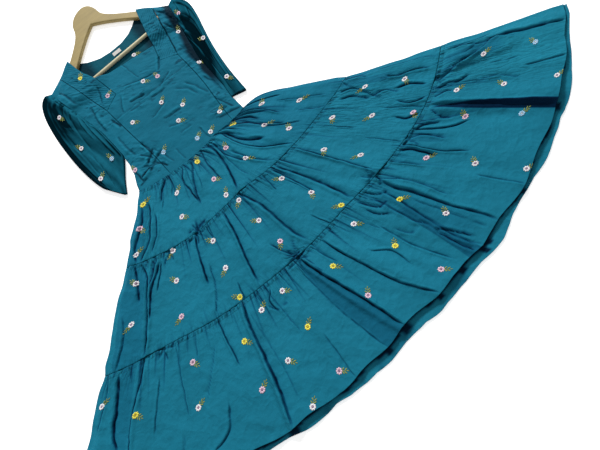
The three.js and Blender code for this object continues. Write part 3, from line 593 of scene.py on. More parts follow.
def tier_grid(tier_index):
    """Shares and downs of a tier's grid. Columns are even, with closer ones beside each followed
    line, so that it is sharp all the way; rows are closer at the two seams."""
    tier = TIERS[tier_index]
    across = np.linspace(0, 1, 9)
    long = float(np.mean(tier_length(*tier["span"], across)))
    downs = np.concatenate([np.array(TOP_ROWS) / long,
                            np.linspace(14.5 / long, 1 - 6.5 / long, tier["rows"]),
                            1 - np.array(FOOT_ROWS) / long])
    lines = followed_lines(tier_index, downs)
    knots = lines.mean(axis=1)
    reach = skirt_frame(*tier["span"], across, np.full(9, 0.6))[1]
    wide = float(np.mean(reach)) * 1.8  # about the tier's width
    beside = knots[:, None] + np.array(BESIDE_LINE) / wide
    even = np.linspace(0, 1, tier["columns"] + 1)
    places = np.unique(np.clip(np.concatenate([even, beside.ravel()]), 0, 1))
    places = places[np.concatenate([[True], np.diff(places) > COLUMN_GAP / wide])]
    places[-1] = 1.0
    shares = np.array([np.interp(places, [0, *knots, 1], [0, *row, 1]) for row in lines.T])
    return shares, np.broadcast_to(downs[:, None], shares.shape)


HEM_KINK = 0.013  # how far the front's hem strays in and out, against the tier's length
HEM_RUN = 1500  # the hem's length, about, for noise that runs along it
# Soft bumps of a tier's two side edges: how far, the sign of their seed and of the way across,
# and how much goes across and up.
SIDE_BULGES = [(6.5, -1, 0.95, 0.3), (3.4, 1, 0.35, 0.9)]


def hem_kink(share, down):
    """The front hem's straying along the cloth's fall, against the tier's length."""
    return HEM_KINK * facets(share * HEM_RUN, 0 * share, 52, 64) * smooth((down - 0.6) / 0.4)


def bulged(tier_index, share, down, x, y):
    """Plan places with the tier's two side edges swollen outward by uneven soft bumps."""
    for bulge, sign, across, upward in SIDE_BULGES:
        side = share if sign < 0 else 1 - share
        swell = bulge * (0.5 + 0.5 * soft_noise(down * 220, 0 * down, 34, 91 + tier_index + sign))
        swell = swell * smooth(1 - side / 0.06) * smooth(down * 9) * smooth((1 - down) * 9)
        x, y = x + sign * swell * across, y + swell * upward
    return x, y


def tier_loft(tier_index, share, down, lively):
    """How high a front tier stands over the lying cloth: the solid's loft, its puckers under the
    seam, its flutes calmed, and its long folds."""
    tier, size = TIERS[tier_index], sizes()
    waves = [shift * np.sin(2 * np.pi * count * share + tier["seed"] * count)
             for count, shift in UNEVEN_SPACING]
    start = sum(shift * np.sin(tier["seed"] * count) for count, shift in UNEVEN_SPACING)
    count = tier["gathers"] * share + sum(waves) - start
    gather, flute = 0.5 - 0.5 * np.cos(2 * np.pi * count), 0.5 - 0.5 * np.cos(np.pi * count)
    pucker = tier["pucker"] * gather * (1 - smooth(down * 2.2)) * lively * 0.8
    low = tier["flute"] * flute * smooth(down * 1.6) * lively * size.flute_height * 2.0
    loft = mix(tier["loft_top"], tier["loft_foot"], down) + pucker + low
    return loft + long_fold_height(tier_index, share, down) * size.fold_height


def tier_shade(tier_index, share, down, dark, lit):
    """Painted shade of a front tier: in its creases and gathers, with painted highlights on their
    ridges, the pleats in painted shade, and its end at +X darker on the first tier and lighter, as
    a painted sheen, on the last."""
    shade = less_lit(dark, lit)
    for top, foot, half_top, half_foot, start, end, darkness in of_tier(SHADED_BANDS, tier_index):
        off = np.abs(share - mix(top, foot, down))
        half = mix(half_top, half_foot, smooth(down * 2.5))
        run = smooth((down - start) * 14) * smooth((end - down) * 8)
        shade = np.maximum(shade, darkness * run * smooth((half - off) / BAND_EDGE + 0.5))
    if tier_index in END_SHADE_AND_SHEEN:
        start, over, much = END_SHADE_AND_SHEEN[tier_index]
        shade = shade + much * smooth((share - start) / over)
    return np.clip(shade, -0.3, 1)


FAR_FROM_SEAM = 40.0  # millimetres: a place's seam mark past which it counts as far
FOOT_MARK = 60.0  # a place's seam mark at the foot seam, growing upward from there


def tier_marks(tier, share, width, down, long):
    """How far a place is from a seam, and how tightly it is gathered, for the cloth's stitches and
    for the painted shade and grooves of its gathers and seams.
    """
    hem = tier["span"][1] == "hem"
    from_top, from_foot = down * long, (1 - down) * long
    seam = np.where(from_top < FAR_FROM_SEAM, from_top,
                    np.where(hem, FAR_FROM_SEAM, FOOT_MARK + from_foot))
    runs = 0.35 + 0.65 * soft_noise(share * width, from_top * 0, 60, 55)
    bunch = np.exp(-from_top / (GATHER_REACH * (0.6 + runs))) * (0.55 + 0.45 * runs)
    if not hem:
        bunch = np.maximum(bunch, 0.7 * np.exp(-from_foot / (0.45 * GATHER_REACH)))
    middle, half = tier["bunched"]
    bunched = 0.9 * smooth(1 - np.abs(share - middle) / half) * (1 - 0.5 * down)
    return {"seam": seam, "gather": np.clip(np.maximum(bunch, bunched), 0, 1)}


def tier_surface(tier_index, share, down):
    """Plan place, height, shade and marks of a front tier's outer face: its loft, then creases,
    gathers, a band and a rolled edge at each seam, and soft unevenness."""
    tier, size = TIERS[tier_index], sizes()
    hem = tier["span"][1] == "hem"
    _, reach, fan = skirt_frame(*tier["span"], share, down)
    strayed = down + hem_kink(share, down) if hem else down
    x, y = bulged(tier_index, share, down, *skirt_plan(*tier["span"], share, strayed))
    width, long = reach * fan, tier_length(*tier["span"], share)
    lively = 0.55 + 0.45 * soft_noise(share * 1000, down * 90, 70, 31 + tier_index)
    creases = drawn_creases(tier_index) + knot_creases(tier_index)
    relief, dark, lit = lay_creases(x, y, creases, 1.1)
    fine, fine_dark = seam_gathers(tier_index, share, down, width)
    crumple = size.crumple_height / MM * (
        0.8 * soft_noise(x, y, 46, 7) + 1.1 * facets(x, y, 30, 8) * lively
        + 0.7 * facets(x * 1.3, y, 14, 9) * (0.5 + 0.5 * soft_noise(x, y, 60, 10)))
    from_top, from_foot = down * long, (1 - down) * long
    edge = hump(from_top, 1.6) + (0.0 if hem else hump(from_foot, 1.6))
    band = facets(share * width, from_top, 5, 51) * hump(from_top - 5.5, 5.0)
    side_fall = smooth(share / SIDE_FALL) * smooth((1 - share) / SIDE_FALL)
    loft = tier_loft(tier_index, share, down, lively)
    z = FRONT_REST + side_fall * (loft + crumple) - 0.8 * edge + side_fall * 1.1 * band
    z = z + side_fall * (relief * size.crease_depth + fine * size.gather_depth)
    dark = np.maximum(dark, fine_dark * size.gather_depth)
    shade = tier_shade(tier_index, share, down, dark, lit)
    marks = tier_marks(tier, share, width, down, long)
    return x, y, kept_above(z, LOWEST_FRONT, 0.35), shade, marks


# ---------------- bodice

ARM_TOP = 12.8
COVER_TOP = ARM_TOP + 0.3 + 1.5 + 0.8  # outer face of the cloth over the hanger
SHOULDER_ROUND = 9.0
SIDE_ROUND = 22.0
BUST_LOFT = 6.5
COVER_FULL = 14.0
COVER_FALL = 34.0
LEFT_SHOULDER_TIP, RIGHT_SHOULDER_TIP = (-190, 387), (190, 378)
SHOULDERS = [(LEFT_SHOULDER_TIP, (-106, 434)), ((119, 429), RIGHT_SHOULDER_TIP)]
ARM_LINES = [((-98, 412), (-158, 330)), ((114, 408), (160, 340)), ((-146, 331), (-82, 333)),
             ((148, 342), (104, 339))]
LEFT_SEAM = [  # side seams from the waist to the shoulder tip
    (-156, -7), (-152, 12), (-143, 34), (-137, 66), (-138, 110), (-141, 150), (-145, 190),
    (-153.8, 230), (-168, 290), (-177.8, 330), (-185.5, 362), (-189.5, 380), (-190, 386.5),
]
RIGHT_SEAM = [
    (152, -12), (151, 8), (150, 34), (155, 66), (157, 110), (158, 150), (159, 190), (164.8, 230),
    (174.6, 283), (181.5, 320), (187.5, 352), (190.2, 371), (190, 378),
]
LEFT_PRINCESS = [  # seams of the centre panel, from the waist to the bust
    (-74, -23), (-76, 2), (-78, 32), (-82, 66), (-88, 110), (-93, 150), (-98, 190), (-102, 228),
]
RIGHT_PRINCESS = [
    (113, -15), (114, 4), (116, 32), (119, 66), (123, 110), (124, 150), (123, 190), (122, 228),
]
LEFT_YOKE = [(-117, 288), (-128, 330), (-139, 368), (-147, 398), (-151, 409)]  # on to the shoulder
RIGHT_YOKE = [(133, 283), (141, 323), (148, 360), (153, 392), (155, 403)]


def edges_of(left, right):
    """A front piece's left and right long edges, in rows from the waist or bust up."""
    return np.hstack([np.array(left, float), np.array(right, float)])


FRONT_CENTER = edges_of(
    [*LEFT_PRINCESS, (-59, 251), (-62.5, 269.5), (-66, 288), (-74, 325)],
    [*RIGHT_PRINCESS, (79, 250), (82, 262.5), (85, 275), (91, 300)])
FRONT_SIDE_LEFT = edges_of(LEFT_SEAM, LEFT_PRINCESS + LEFT_YOKE)
FRONT_SIDE_RIGHT = edges_of(RIGHT_PRINCESS + RIGHT_YOKE, RIGHT_SEAM)
FRONT_STRAP_LEFT = edges_of(
    [(-102, 229), (-109.2, 258), *LEFT_YOKE],
    [(-59.3, 252), (-66, 288), (-74, 325), (-86, 357), (-96, 386), (-103, 424), (-106, 434)])
FRONT_STRAP_RIGHT = edges_of(
    [(79.3, 251), (85, 275), (91, 300), (99, 342), (107, 380), (116, 418), (119, 429)],
    [(121.9, 229), (127, 255), *RIGHT_YOKE])
BACK_NECK = [
    (-106, 434), (-99, 426), (-88.5, 414), (-65, 396), (-35.5, 382), (-4, 377), (33, 378),
    (62, 387), (84, 401), (104, 418), (119, 429),
]
PANEL_SEAMS = [FRONT_CENTER[:8, :2], FRONT_CENTER[:8, 2:], FRONT_STRAP_RIGHT[:, :2],
               FRONT_STRAP_LEFT[:, 2:], FRONT_STRAP_RIGHT[:, 2:], FRONT_STRAP_LEFT[:, :2]]
SEAM_GROOVE = (1.5, 0.8, 0.42, 1)  # width, depth, darkness of its painted shade, soft side
WAIST_ROWS = 0.12  # the part of a panel's length over which its rows take up the waist's curve

# Creases of the bodice in plan: line as x and y in turn, width, depth, darkness of their painted
# shade, soft side.
BODICE_WIDTH, BODICE_DEPTH, BODICE_DARKNESS = 1.7, 1.3, 0.95  # against the table
BODICE_CREASES = [
    ((-85, 92, -79, 69, -77, 45), 2.8, 2.2, 0.7, 1),
    ((-70, 60, -85, 46, -102, 34), 2.8, 2.2, 0.75, 1),
    ((-87, 30, -77, 14, -68, -4), 2.6, 2.0, 0.7, -1),
    ((-134, 17, -116, 21, -102, 21), 3.0, 2.2, 0.8, 1),
    ((-137, 44, -134, 22, -132, 1), 3.0, 2.2, 0.8, -1),
    ((-121, 5, -134, 3, -146, 1), 2.6, 1.8, 0.7, 1),
    ((-137, 190, 0, 187, 159, 188), 1.8, 1.0, 0.42, 1),
    ((-2, 318, 4, 285, 12, 245), 1.8, 1.0, 0.42, 1),
    ((-34, 255, -12, 247, 5, 238, 30, 231, 56, 231), 2.6, 1.8, 0.6, 1),
    ((-46, 204, -24, 198, -2, 195), 2.6, 1.8, 0.55, -1),
    ((34, 184, 52, 192, 78, 205), 2.6, 2.0, 0.6, 1),
    ((-60, 182, -36, 177, -12, 176), 2.4, 1.6, 0.5, 1),
    ((0, 176, 20, 170, 46, 172), 2.4, 1.6, 0.5, -1),
    ((-28, 124, -4, 130, 24, 138), 2.6, 1.8, 0.55, 1),
    ((-8, 104, 16, 98, 42, 97), 2.6, 1.8, 0.5, -1), ((-10, 77, 4, 70, 22, 65), 2.4, 1.5, 0.45, 1),
    ((2, 41, 18, 43, 35, 42), 2.2, 1.3, 0.4, 1), ((-104, 68, -92, 52, -82, 36), 3.0, 2.2, 0.65, 1),
    ((-108, 12, -84, 30, -56, 43), 3.2, 2.4, 0.65, -1),
    ((-112, 30, -92, 24, -66, 8), 2.6, 1.8, 0.55, 1),
    ((-70, 60, -58, 30, -50, -6), 2.4, 1.6, 0.45, 1),
    ((116, 60, 126, 36, 138, 10), 3.0, 2.2, 0.6, 1), ((92, 9, 120, 4, 150, -3), 3.0, 2.2, 0.6, -1),
    ((86, 34, 104, 22, 128, 20), 2.4, 1.6, 0.5, 1),
    ((88, 150, 104, 118, 117, 80), 3.2, 1.8, 0.4, 1),
    ((60, 152, 84, 128, 96, 96), 2.8, 1.4, 0.35, 1),
    ((-84, 306, -92, 282, -99, 254), 2.4, 1.6, 0.6, 1),
    ((-108, 200, -102, 182, -97, 164), 3.2, 2.0, 0.7, 1),
    ((84, 262, 70, 240, 58, 226), 2.6, 1.8, 0.5, 1),
    ((-52, 236, -66, 214, -72, 190), 2.4, 1.4, 0.4, -1),
    ((140, 250, 150, 210, 152, 160), 3.0, 1.8, 0.5, 1),
    ((153, 392, 141, 323, 127, 255, 122, 233), 2.6, 1.2, 0.75, 1),
    ((146, 330, 160, 300, 162, 262), 3.4, 2.2, 0.65, 1),
    ((-128, 270, -136, 230, -134, 180), 3.2, 1.8, 0.5, -1),
    ((-120, 150, -118, 110, -112, 74), 3.0, 1.8, 0.5, 1),
    ((152, 380, 166, 352, 172, 318), 3.2, 2.0, 0.6, -1),
    ((-172, 372, -160, 338, -150, 300), 3.2, 2.0, 0.6, 1),
    ((132, 130, 142, 100, 146, 60), 2.6, 1.6, 0.5, -1),
    ((-30, 20, -26, -6, -24, -20), 2.0, 1.2, 0.4, 1),
    ((44, 24, 46, 0, 50, -18), 2.0, 1.2, 0.4, -1),
]
BUSY = [  # where the bodice is most crumpled: place, reach, how much
    (-120, 60, 60, 1.0), (-100, 20, 45, 1.0), (-10, 190, 45, 0.7), (40, 225, 40, 0.8),
    (90, 330, 60, 1.0), (-110, 330, 60, 1.0), (-140, 250, 55, 1.0), (140, 200, 60, 0.9),
    (150, 320, 60, 1.0), (30, 80, 40, 0.6), (120, 40, 50, 0.9), (-40, 236, 34, 0.8),
    (-85, 260, 34, 0.9), (66, 190, 36, 0.7),
]
CALM_CRUMPLE = 0.14  # how crumpled the rest of the bodice is
CENTER_SHADE, SIDE_SHADE, STRAP_SHADE = 0.245, 0.20, 0.20  # how much painted shade each has
CRINKLE = {"pitch": 7.2, "height": 0.7, "lean": 0.75, "shade": 0.42}


def distance_to_line(ends, x, y):
    """Plan distance to a straight line between two points."""
    (ax, ay), (bx, by) = ends
    dx, dy = bx - ax, by - ay
    along = np.clip(((x - ax) * dx + (y - ay) * dy) / (dx * dx + dy * dy), 0, 1)
    return np.hypot(x - ax - along * dx, y - ay - along * dy)


def from_side(x, y):
    """Distance in from the bodice's side seams, which run along the side panels' outer edges."""
    (left_x, left_y), (right_x, right_y) = zip(*LEFT_SEAM), zip(*RIGHT_SEAM)
    inside = np.minimum(x - np.interp(y, left_y, left_x), np.interp(y, right_y, right_x) - x)
    return np.maximum(inside, 0.0)


def bodice_height(x, y):
    """Outer face of the front bodice: laid on the back and lofted at the bust, carried over the
    hanger's arms, and rounded down to the shoulder seams on a quarter circle."""
    bust = BUST_LOFT * hump(np.hypot(x / 1.1, y - 190), 120) + 1.5 * hump(y - 60, 70)
    near = np.min([distance_to_line(line, x, y) for line in ARM_LINES], axis=0)
    carried = smooth(1 - (near - COVER_FULL) / COVER_FALL)
    lying = FRONT_REST + bust * smooth(from_side(x, y) / SIDE_ROUND)
    height = mix(lying, COVER_TOP, carried)
    shoulder = np.min([distance_to_line(line, x, y) for line in SHOULDERS], axis=0)
    turn = 1 - np.clip(shoulder / SHOULDER_ROUND, 0, 1)
    low = BACK_TOP + 0.3
    return low + (height - low) * np.sqrt(np.maximum(0, 1 - turn ** 2))


def waist_line_at(x):
    """Height in plan of the waist seam at a place across."""
    share = np.linspace(0, 1, 161)
    wx, wy = skirt_plan("waist", "seam1", share, np.zeros_like(share))
    return np.interp(x, wx, wy + 0.3)


def panel_plan(edges, share, up):
    """Plan place in a front piece between two long edges, its foot following the waist seam."""
    place = up * (len(edges) - 1)
    rows = np.arange(len(edges))
    lx, ly, rx, ry = (np.interp(place, rows, edges[:, k]) for k in range(4))
    inset = mix(0.15, -0.15, share) / np.hypot(rx - lx, ry - ly)
    x, y = mix(lx, rx, share + inset), mix(ly, ry, share + inset)
    if edges[0, 1] < 0:
        y = mix(y, waist_line_at(x), smooth(1 - up / WAIST_ROWS))
    return x, y


def busy_at(x, y):
    """How crumpled the bodice is at a place, from 0 to 1."""
    busy = np.full_like(x, CALM_CRUMPLE)
    for cx, cy, reach, much in BUSY:
        busy = np.maximum(busy, much * smooth(1.4 - np.hypot(x - cx, y - cy) / reach))
    return busy


def bodice_surface(x, y):
    """Height and painted shade of the front bodice at a plan place: its form, its creases and
    crumples, with painted shade in their hollows and painted highlights on the creases' ridges.
    """
    size, busy = sizes(), busy_at(x, y)
    drawn = [(line, BODICE_WIDTH * width, BODICE_DEPTH * depth, BODICE_DARKNESS * darkness, side)
             for line, width, depth, darkness, side in BODICE_CREASES]
    relief, dark, lit = lay_creases(x, y, drawn, 1.6)
    groove, groove_dark, _ = lay_creases(x, y, [(line, *SEAM_GROOVE) for line in PANEL_SEAMS])
    crumple = (0.8 * soft_noise(x, y * 1.5, 34, 21) + busy * (
        1.4 * facets(x, y * 1.6, 22, 22) + 1.0 * facets(x * 1.2, y * 1.8, 10, 23)
        + 0.5 * facets(x, y, 5.5, 25))) * (size.crumple_height / MM) * 0.9
    calm = smooth((y + 22) / 30)  # above the waist seam
    gathers = 0.5 * soft_noise(x * 1.0, y * 0.16, 5.0, 24) * (1 - smooth((y + 24) / 42))
    height = bodice_height(x, y)
    z = height + (relief + groove) * size.crease_depth + crumple * calm + gathers
    z = mix(height, z, 0.35 + 0.65 * smooth((height - 3.0) / 2.0))  # calmer near its edges
    floor = LOWEST_FRONT - 0.1
    z = np.where(height < floor, height, kept_above(z, floor, 0.3))
    # Painted shade in the deeper hollows of the crumples where the bodice is busy.
    folded = facets(x, y * 1.6, 9, 26)
    dark = np.maximum(dark, 0.5 * busy * smooth((np.abs(folded) - 0.55) * 6) * (folded < 0))
    return z, np.clip(less_lit(np.maximum(dark, groove_dark), lit), -0.3, 1)


def crinkles(x, y, lean):
    """Diagonal ripples of a strap: a wave across a leaning line, made uneven by noise, with painted
    shade in its hollows."""
    wander = 2.2 * soft_noise(x, y, 18, 41)
    phase = 2 * np.pi * (y + lean * x + wander) / CRINKLE["pitch"]
    lively = 0.6 + 0.4 * soft_noise(x, y, 13, 42)
    wave = np.sin(phase)
    return CRINKLE["height"] * wave * lively, CRINKLE["shade"] * smooth(-wave - 0.25) * lively


# ---------------- sleeves

SLEEVE_LEFT = [  # outer x, y, inner x, y, height, ring by ring from the armhole to the cuff
    (-191.8, 384, -153.4, 221, 9), (-206, 388, -149.4, 203, 15), (-224, 366, -146, 185, 19),
    (-236, 325, -144, 165, 18), (-241, 270, -142, 143, 16), (-241, 215, -140.2, 118, 15),
    (-238, 160, -139.4, 93, 14), (-231, 108, -150, 72, 13), (-221, 66, -168, 42, 12),
    (-210, 46, -185, 8, 10),
]
SLEEVE_RIGHT = [
    (193.4, 374, 164.9, 221, 9), (208, 378, 162.4, 203, 15), (224, 360, 160.4, 185, 18),
    (232, 330, 159.9, 165, 17), (227, 290, 159.3, 143, 15), (217, 250, 158.7, 118, 14),
    (205, 200, 157.7, 93, 13), (196, 150, 156.8, 72, 12), (189, 90, 153.9, 48, 11),
    (186, 22, 152.6, 32, 10),
]
SLEEVE_ACROSS, SLEEVE_DOWN = 75.0, 320.0  # plan of a sleeve's top: half its width, its length
# Folds of the sleeves: places in hundredths, across (100 at the outer edge, -100 at the inner) and
# down in turn, width, depth, darkness, soft side.
SLEEVE_FOLDS = {
    "left": [
        ((86, 10, 80, 35, 74, 65, 60, 92), 7.0, 3.4, 0.75, -1),
        ((55, 0, 50, 22, 42, 50, 30, 86), 5.0, 3.0, 0.55, 1),
        ((28, 2, 20, 20, 6, 42), 4.0, 2.4, 0.6, -1),
        ((5, 0, -4, 16, -12, 34, -10, 60), 4.0, 2.4, 0.55, 1),
        ((-24, 0, -34, 20, -46, 44), 4.4, 2.6, 0.6, -1),
        ((-52, 2, -60, 22, -70, 42, -78, 66), 6.0, 3.2, 0.8, -1),
        ((-86, 10, -90, 36, -92, 70), 7.0, 3.0, 0.95, -1),
        ((10, 60, -4, 78, -20, 96), 4.0, 2.0, 0.5, 1), ((40, 2, 36, 12), 4.0, 2.2, 0.7, 1),
        ((74, 1, 70, 10), 4.0, 2.2, 0.7, -1), ((-10, 1, -13, 9), 4.0, 2.2, 0.7, 1),
        ((90, 3, 62, 7.5, 30, 7), 4.0, 2.4, 0.7, 1), ((62, 30, 30, 36, 2, 34), 3.0, 1.4, 0.35, 1),
    ],
    "right": [
        ((80, 4, 72, 30, 60, 62, 52, 95), 7.0, 3.4, 0.85, 1),
        ((42, 0, 36, 20, 30, 44), 6.0, 3.2, 0.9, -1),
        ((10, 2, 6, 26, 8, 60, 10, 90), 5.4, 3.2, 0.8, 1),
        ((-26, 0, -30, 30, -24, 66), 5.0, 2.8, 0.85, -1),
        ((-62, 2, -66, 40, -60, 94), 7.0, 3.4, 0.95, -1),
        ((92, 10, 30, 14, -20, 10), 5.0, 2.6, 0.9, 1),
        ((86, 26, 40, 30, 10, 24), 4.4, 2.4, 0.75, -1),
        ((60, 44, 20, 50, -10, 46), 4.0, 2.0, 0.6, 1),
    ],
}
SLEEVES = {  # way is +1 where its outer edge is toward -X
    "left": {"rings": SLEEVE_LEFT, "seed": 71, "way": 1, "cut": (0.33, 0.33), "area": 0.068},
    "right": {"rings": SLEEVE_RIGHT, "seed": 81, "way": -1, "cut": (0.24, 0.33), "area": 0.036},
}
SLEEVE_CROWN, SLEEVE_UNDERSIDE = 0.6, 0.15  # powers of a ring's section; 1 makes an ellipse
SLEEVE_UNDER = 3.4  # how far a sleeve's inner edge laps the bodice's side
SLEEVE_OWN_SHADE = {"left": 0.70, "right": 1.12}  # how much painted shade each sleeve has
SLEEVE_PATCHES = 0.52  # how much painted highlights and painted shade lie in its crumples
SLEEVE_EDGE_SHADE = 0.75  # painted shade of its sides and underside


def sleeve_surface(side, along, turn):
    """A sleeve as a tube laid flat. Along runs from the armhole to the cuff through smooth curves
    of the rings' two edges; turn runs round each flattened ring, blunter than an ellipse on top and
    all but flat below. Folds run down it from the gathered head, and a few cross it."""
    seed, way = SLEEVES[side]["seed"], SLEEVES[side]["way"]
    rings = np.asarray(SLEEVES[side]["rings"], float)
    ox, oy, ix, iy, height = (along_curve(rings[:, k], along) for k in range(5))
    mx, my, hx, hy = (ox + ix) / 2, (oy + iy) / 2, (ox - ix) / 2, (oy - iy) / 2
    c, s = np.cos(turn), np.sin(turn)
    rise = np.sign(s) * np.abs(s) ** np.where(s > 0, SLEEVE_CROWN, SLEEVE_UNDERSIDE)
    x, y = mx + hx * c, my + hy * c
    top, head = smooth(s * 2.5), 1 - smooth(along * 1.5)
    folds = 0.5 * soft_noise(c * 60, along * 45, 13, seed) * (0.12 + 0.88 * head ** 3)
    folds = folds + 0.6 * soft_noise(c * 55, along * 150, 24, seed + 1)
    gathers = np.sin(c * 26 + 3 * soft_noise(c * 40, along * 60, 20, seed + 2))
    folds = folds + 0.6 * gathers * head ** 2
    kinks = (1.8 * facets(c * 70, along * 130, 34, seed + 3)
             + 0.7 * facets(c * 80, along * 190, 17, seed + 4))
    trough = folds + kinks
    drawn = [(np.reshape(line, (-1, 2)) / 100 * (SLEEVE_ACROSS, SLEEVE_DOWN), *rest)
             for line, *rest in SLEEVE_FOLDS[side]]
    relief, dark, lit = lay_creases(c * SLEEVE_ACROSS, along * SLEEVE_DOWN, drawn)
    z = height / 2 + rise * height / 2 + top * (trough - 0.6 + relief)
    lap = np.maximum(smooth((-c - 0.75) / 0.25), smooth(1 - along * 14))
    # Painted shade and highlights on the top, and painted shade on its sides and underside.
    shade = sleeve_shade(side, c, along, trough, dark, lit)
    shade = np.clip(top * shade + SLEEVE_EDGE_SHADE * (1 - top), -0.1, 0.97)
    return x + SLEEVE_UNDER * lap * way, y, np.maximum(z, 0.05), shade


def sleeve_shade(side, c, along, trough, dark, lit):
    """Painted shade of a sleeve's top, from its outer edge at c = 1 to its inner one at -1: in its
    hollows and folds, its own painted shade spread by how it lies, painted highlights on the
    gathers at its head and on its folds' ridges, and painted highlights and shade in its crumples."""
    seed = SLEEVES[side]["seed"]
    broad = 0.35 * smooth(-trough / 2.0) + 0.3 * smooth((np.abs(c) - 0.62) / 0.3)
    spread = facets(c * 70, along * 300, 34, seed + 5)
    own = smooth((c + 0.1 - 0.5 * along + 0.6 * spread) * 2.2 + 0.5)
    if side == "right":
        core = smooth((0.42 - c + 0.3 * facets(c * 70, along * 130, 30, seed + 7)) * 3.5)
        own = 0.05 + 0.95 * core * smooth((0.62 - along) * 4 + 0.5)
    head_lit = hump(along - 0.055, 0.06) * (0.5 + 0.5 * facets(c * 70, along * 300, 12, seed + 6))
    painted_patches = SLEEVE_PATCHES * facets(c * 70, along * 170, 26, seed + 8)
    return (np.maximum(broad, dark) + SLEEVE_OWN_SHADE[side] * (0.10 + 0.90 * own) - 1.7 * head_lit
            + painted_patches - 1.6 * lit)


# ---------------- building meshes

def to_metres(points):
    """Dress frame in millimetres to the CAD part's frame in metres."""
    return points * MM + WAIST_MIDDLE


def joined_mesh(name, points, faces, material, uv=None, extras=None):
    """One smooth-shaded mesh object from arrays: points in metres (n, 3), faces as quads (m, 4),
    cloth coordinates in metres (n, 2) and named values per point."""
    mesh = bpy.data.meshes.new(name)
    mesh.vertices.add(len(points))
    mesh.vertices.foreach_set("co", np.ascontiguousarray(points, np.float32).ravel())
    mesh.loops.add(faces.size)
    mesh.loops.foreach_set("vertex_index", faces.astype(np.int32).ravel())
    mesh.polygons.add(len(faces))
    mesh.polygons.foreach_set("loop_start", np.arange(0, faces.size, 4, dtype=np.int32))
    mesh.polygons.foreach_set("loop_total", np.full(len(faces), 4, np.int32))
    mesh.polygons.foreach_set("use_smooth", np.ones(len(faces), bool))
    mesh.update(calc_edges=True)
    if uv is not None:
        layer = mesh.uv_layers.new(name="cloth")
        layer.data.foreach_set("uv", uv[faces.ravel()].astype(np.float32).ravel())
    for label, values in (extras or {}).items():
        attribute = mesh.attributes.new(label, "FLOAT", "POINT")
        attribute.data.foreach_set("value", values.astype(np.float32).ravel())
    mesh.validate()
    obj = bpy.data.objects.new(name, mesh)
    bpy.context.scene.collection.objects.link(obj)
    mesh.materials.append(material)
    return obj


def grid_faces(rows, columns, ring=False, flip=False):
    """Quads of a grid of points; a ring joins its last column to its first."""
    r = np.arange(rows - 1)[:, None]
    c = np.arange(columns if ring else columns - 1)[None, :]
    after = (c + 1) % columns
    quads = np.stack([r * columns + c, (r + 1) * columns + c, (r + 1) * columns + after,
                      r * columns + after], axis=-1).reshape(-1, 4)
    return quads[:, ::-1] if flip else quads


def cloth_grid(name, x, y, z, cut, material, extras, ring=False, flip=False):
    """A sheet of cloth from grids of plan places and heights, given its wall inward."""
    points = to_metres(np.stack([x, y, z], axis=-1).reshape(-1, 3))
    extras = {label: values.reshape(-1) for label, values in extras.items()}
    obj = joined_mesh(name, points, grid_faces(*x.shape, ring=ring, flip=flip), material,
                      cut.reshape(-1, 2), extras)
    wall = obj.modifiers.new("wall", "SOLIDIFY")
    wall.thickness = sizes().cloth_wall
    wall.offset = -1.0
    wall.use_rim = True
    return obj


def closed_mesh(name, points, faces, material):
    """A closed mesh from grids of points, its coinciding points joined and faces turned outward."""
    obj = joined_mesh(name, points, faces, material)
    mesh = bmesh.new()
    mesh.from_mesh(obj.data)
    bmesh.ops.remove_doubles(mesh, verts=mesh.verts, dist=1e-6)
    bmesh.ops.dissolve_degenerate(mesh, edges=mesh.edges, dist=1e-7)
    bmesh.ops.recalc_face_normals(mesh, faces=mesh.faces)
    mesh.to_mesh(obj.data)
    mesh.free()
    obj.data.polygons.foreach_set("use_smooth", np.ones(len(obj.data.polygons), bool))
    return obj


def on_cut(share, down, cut):
    """Places in a piece's flat cut, in metres."""
    return np.stack([share * cut[0], down * cut[1]], axis=-1)


def stands_for(obj, slot, *nodes):
    """Every piece rides on the one body and shows in place of its solids."""
    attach(obj, "root")
    if nodes:
        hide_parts(*nodes)
    return obj


# ---------------- materials

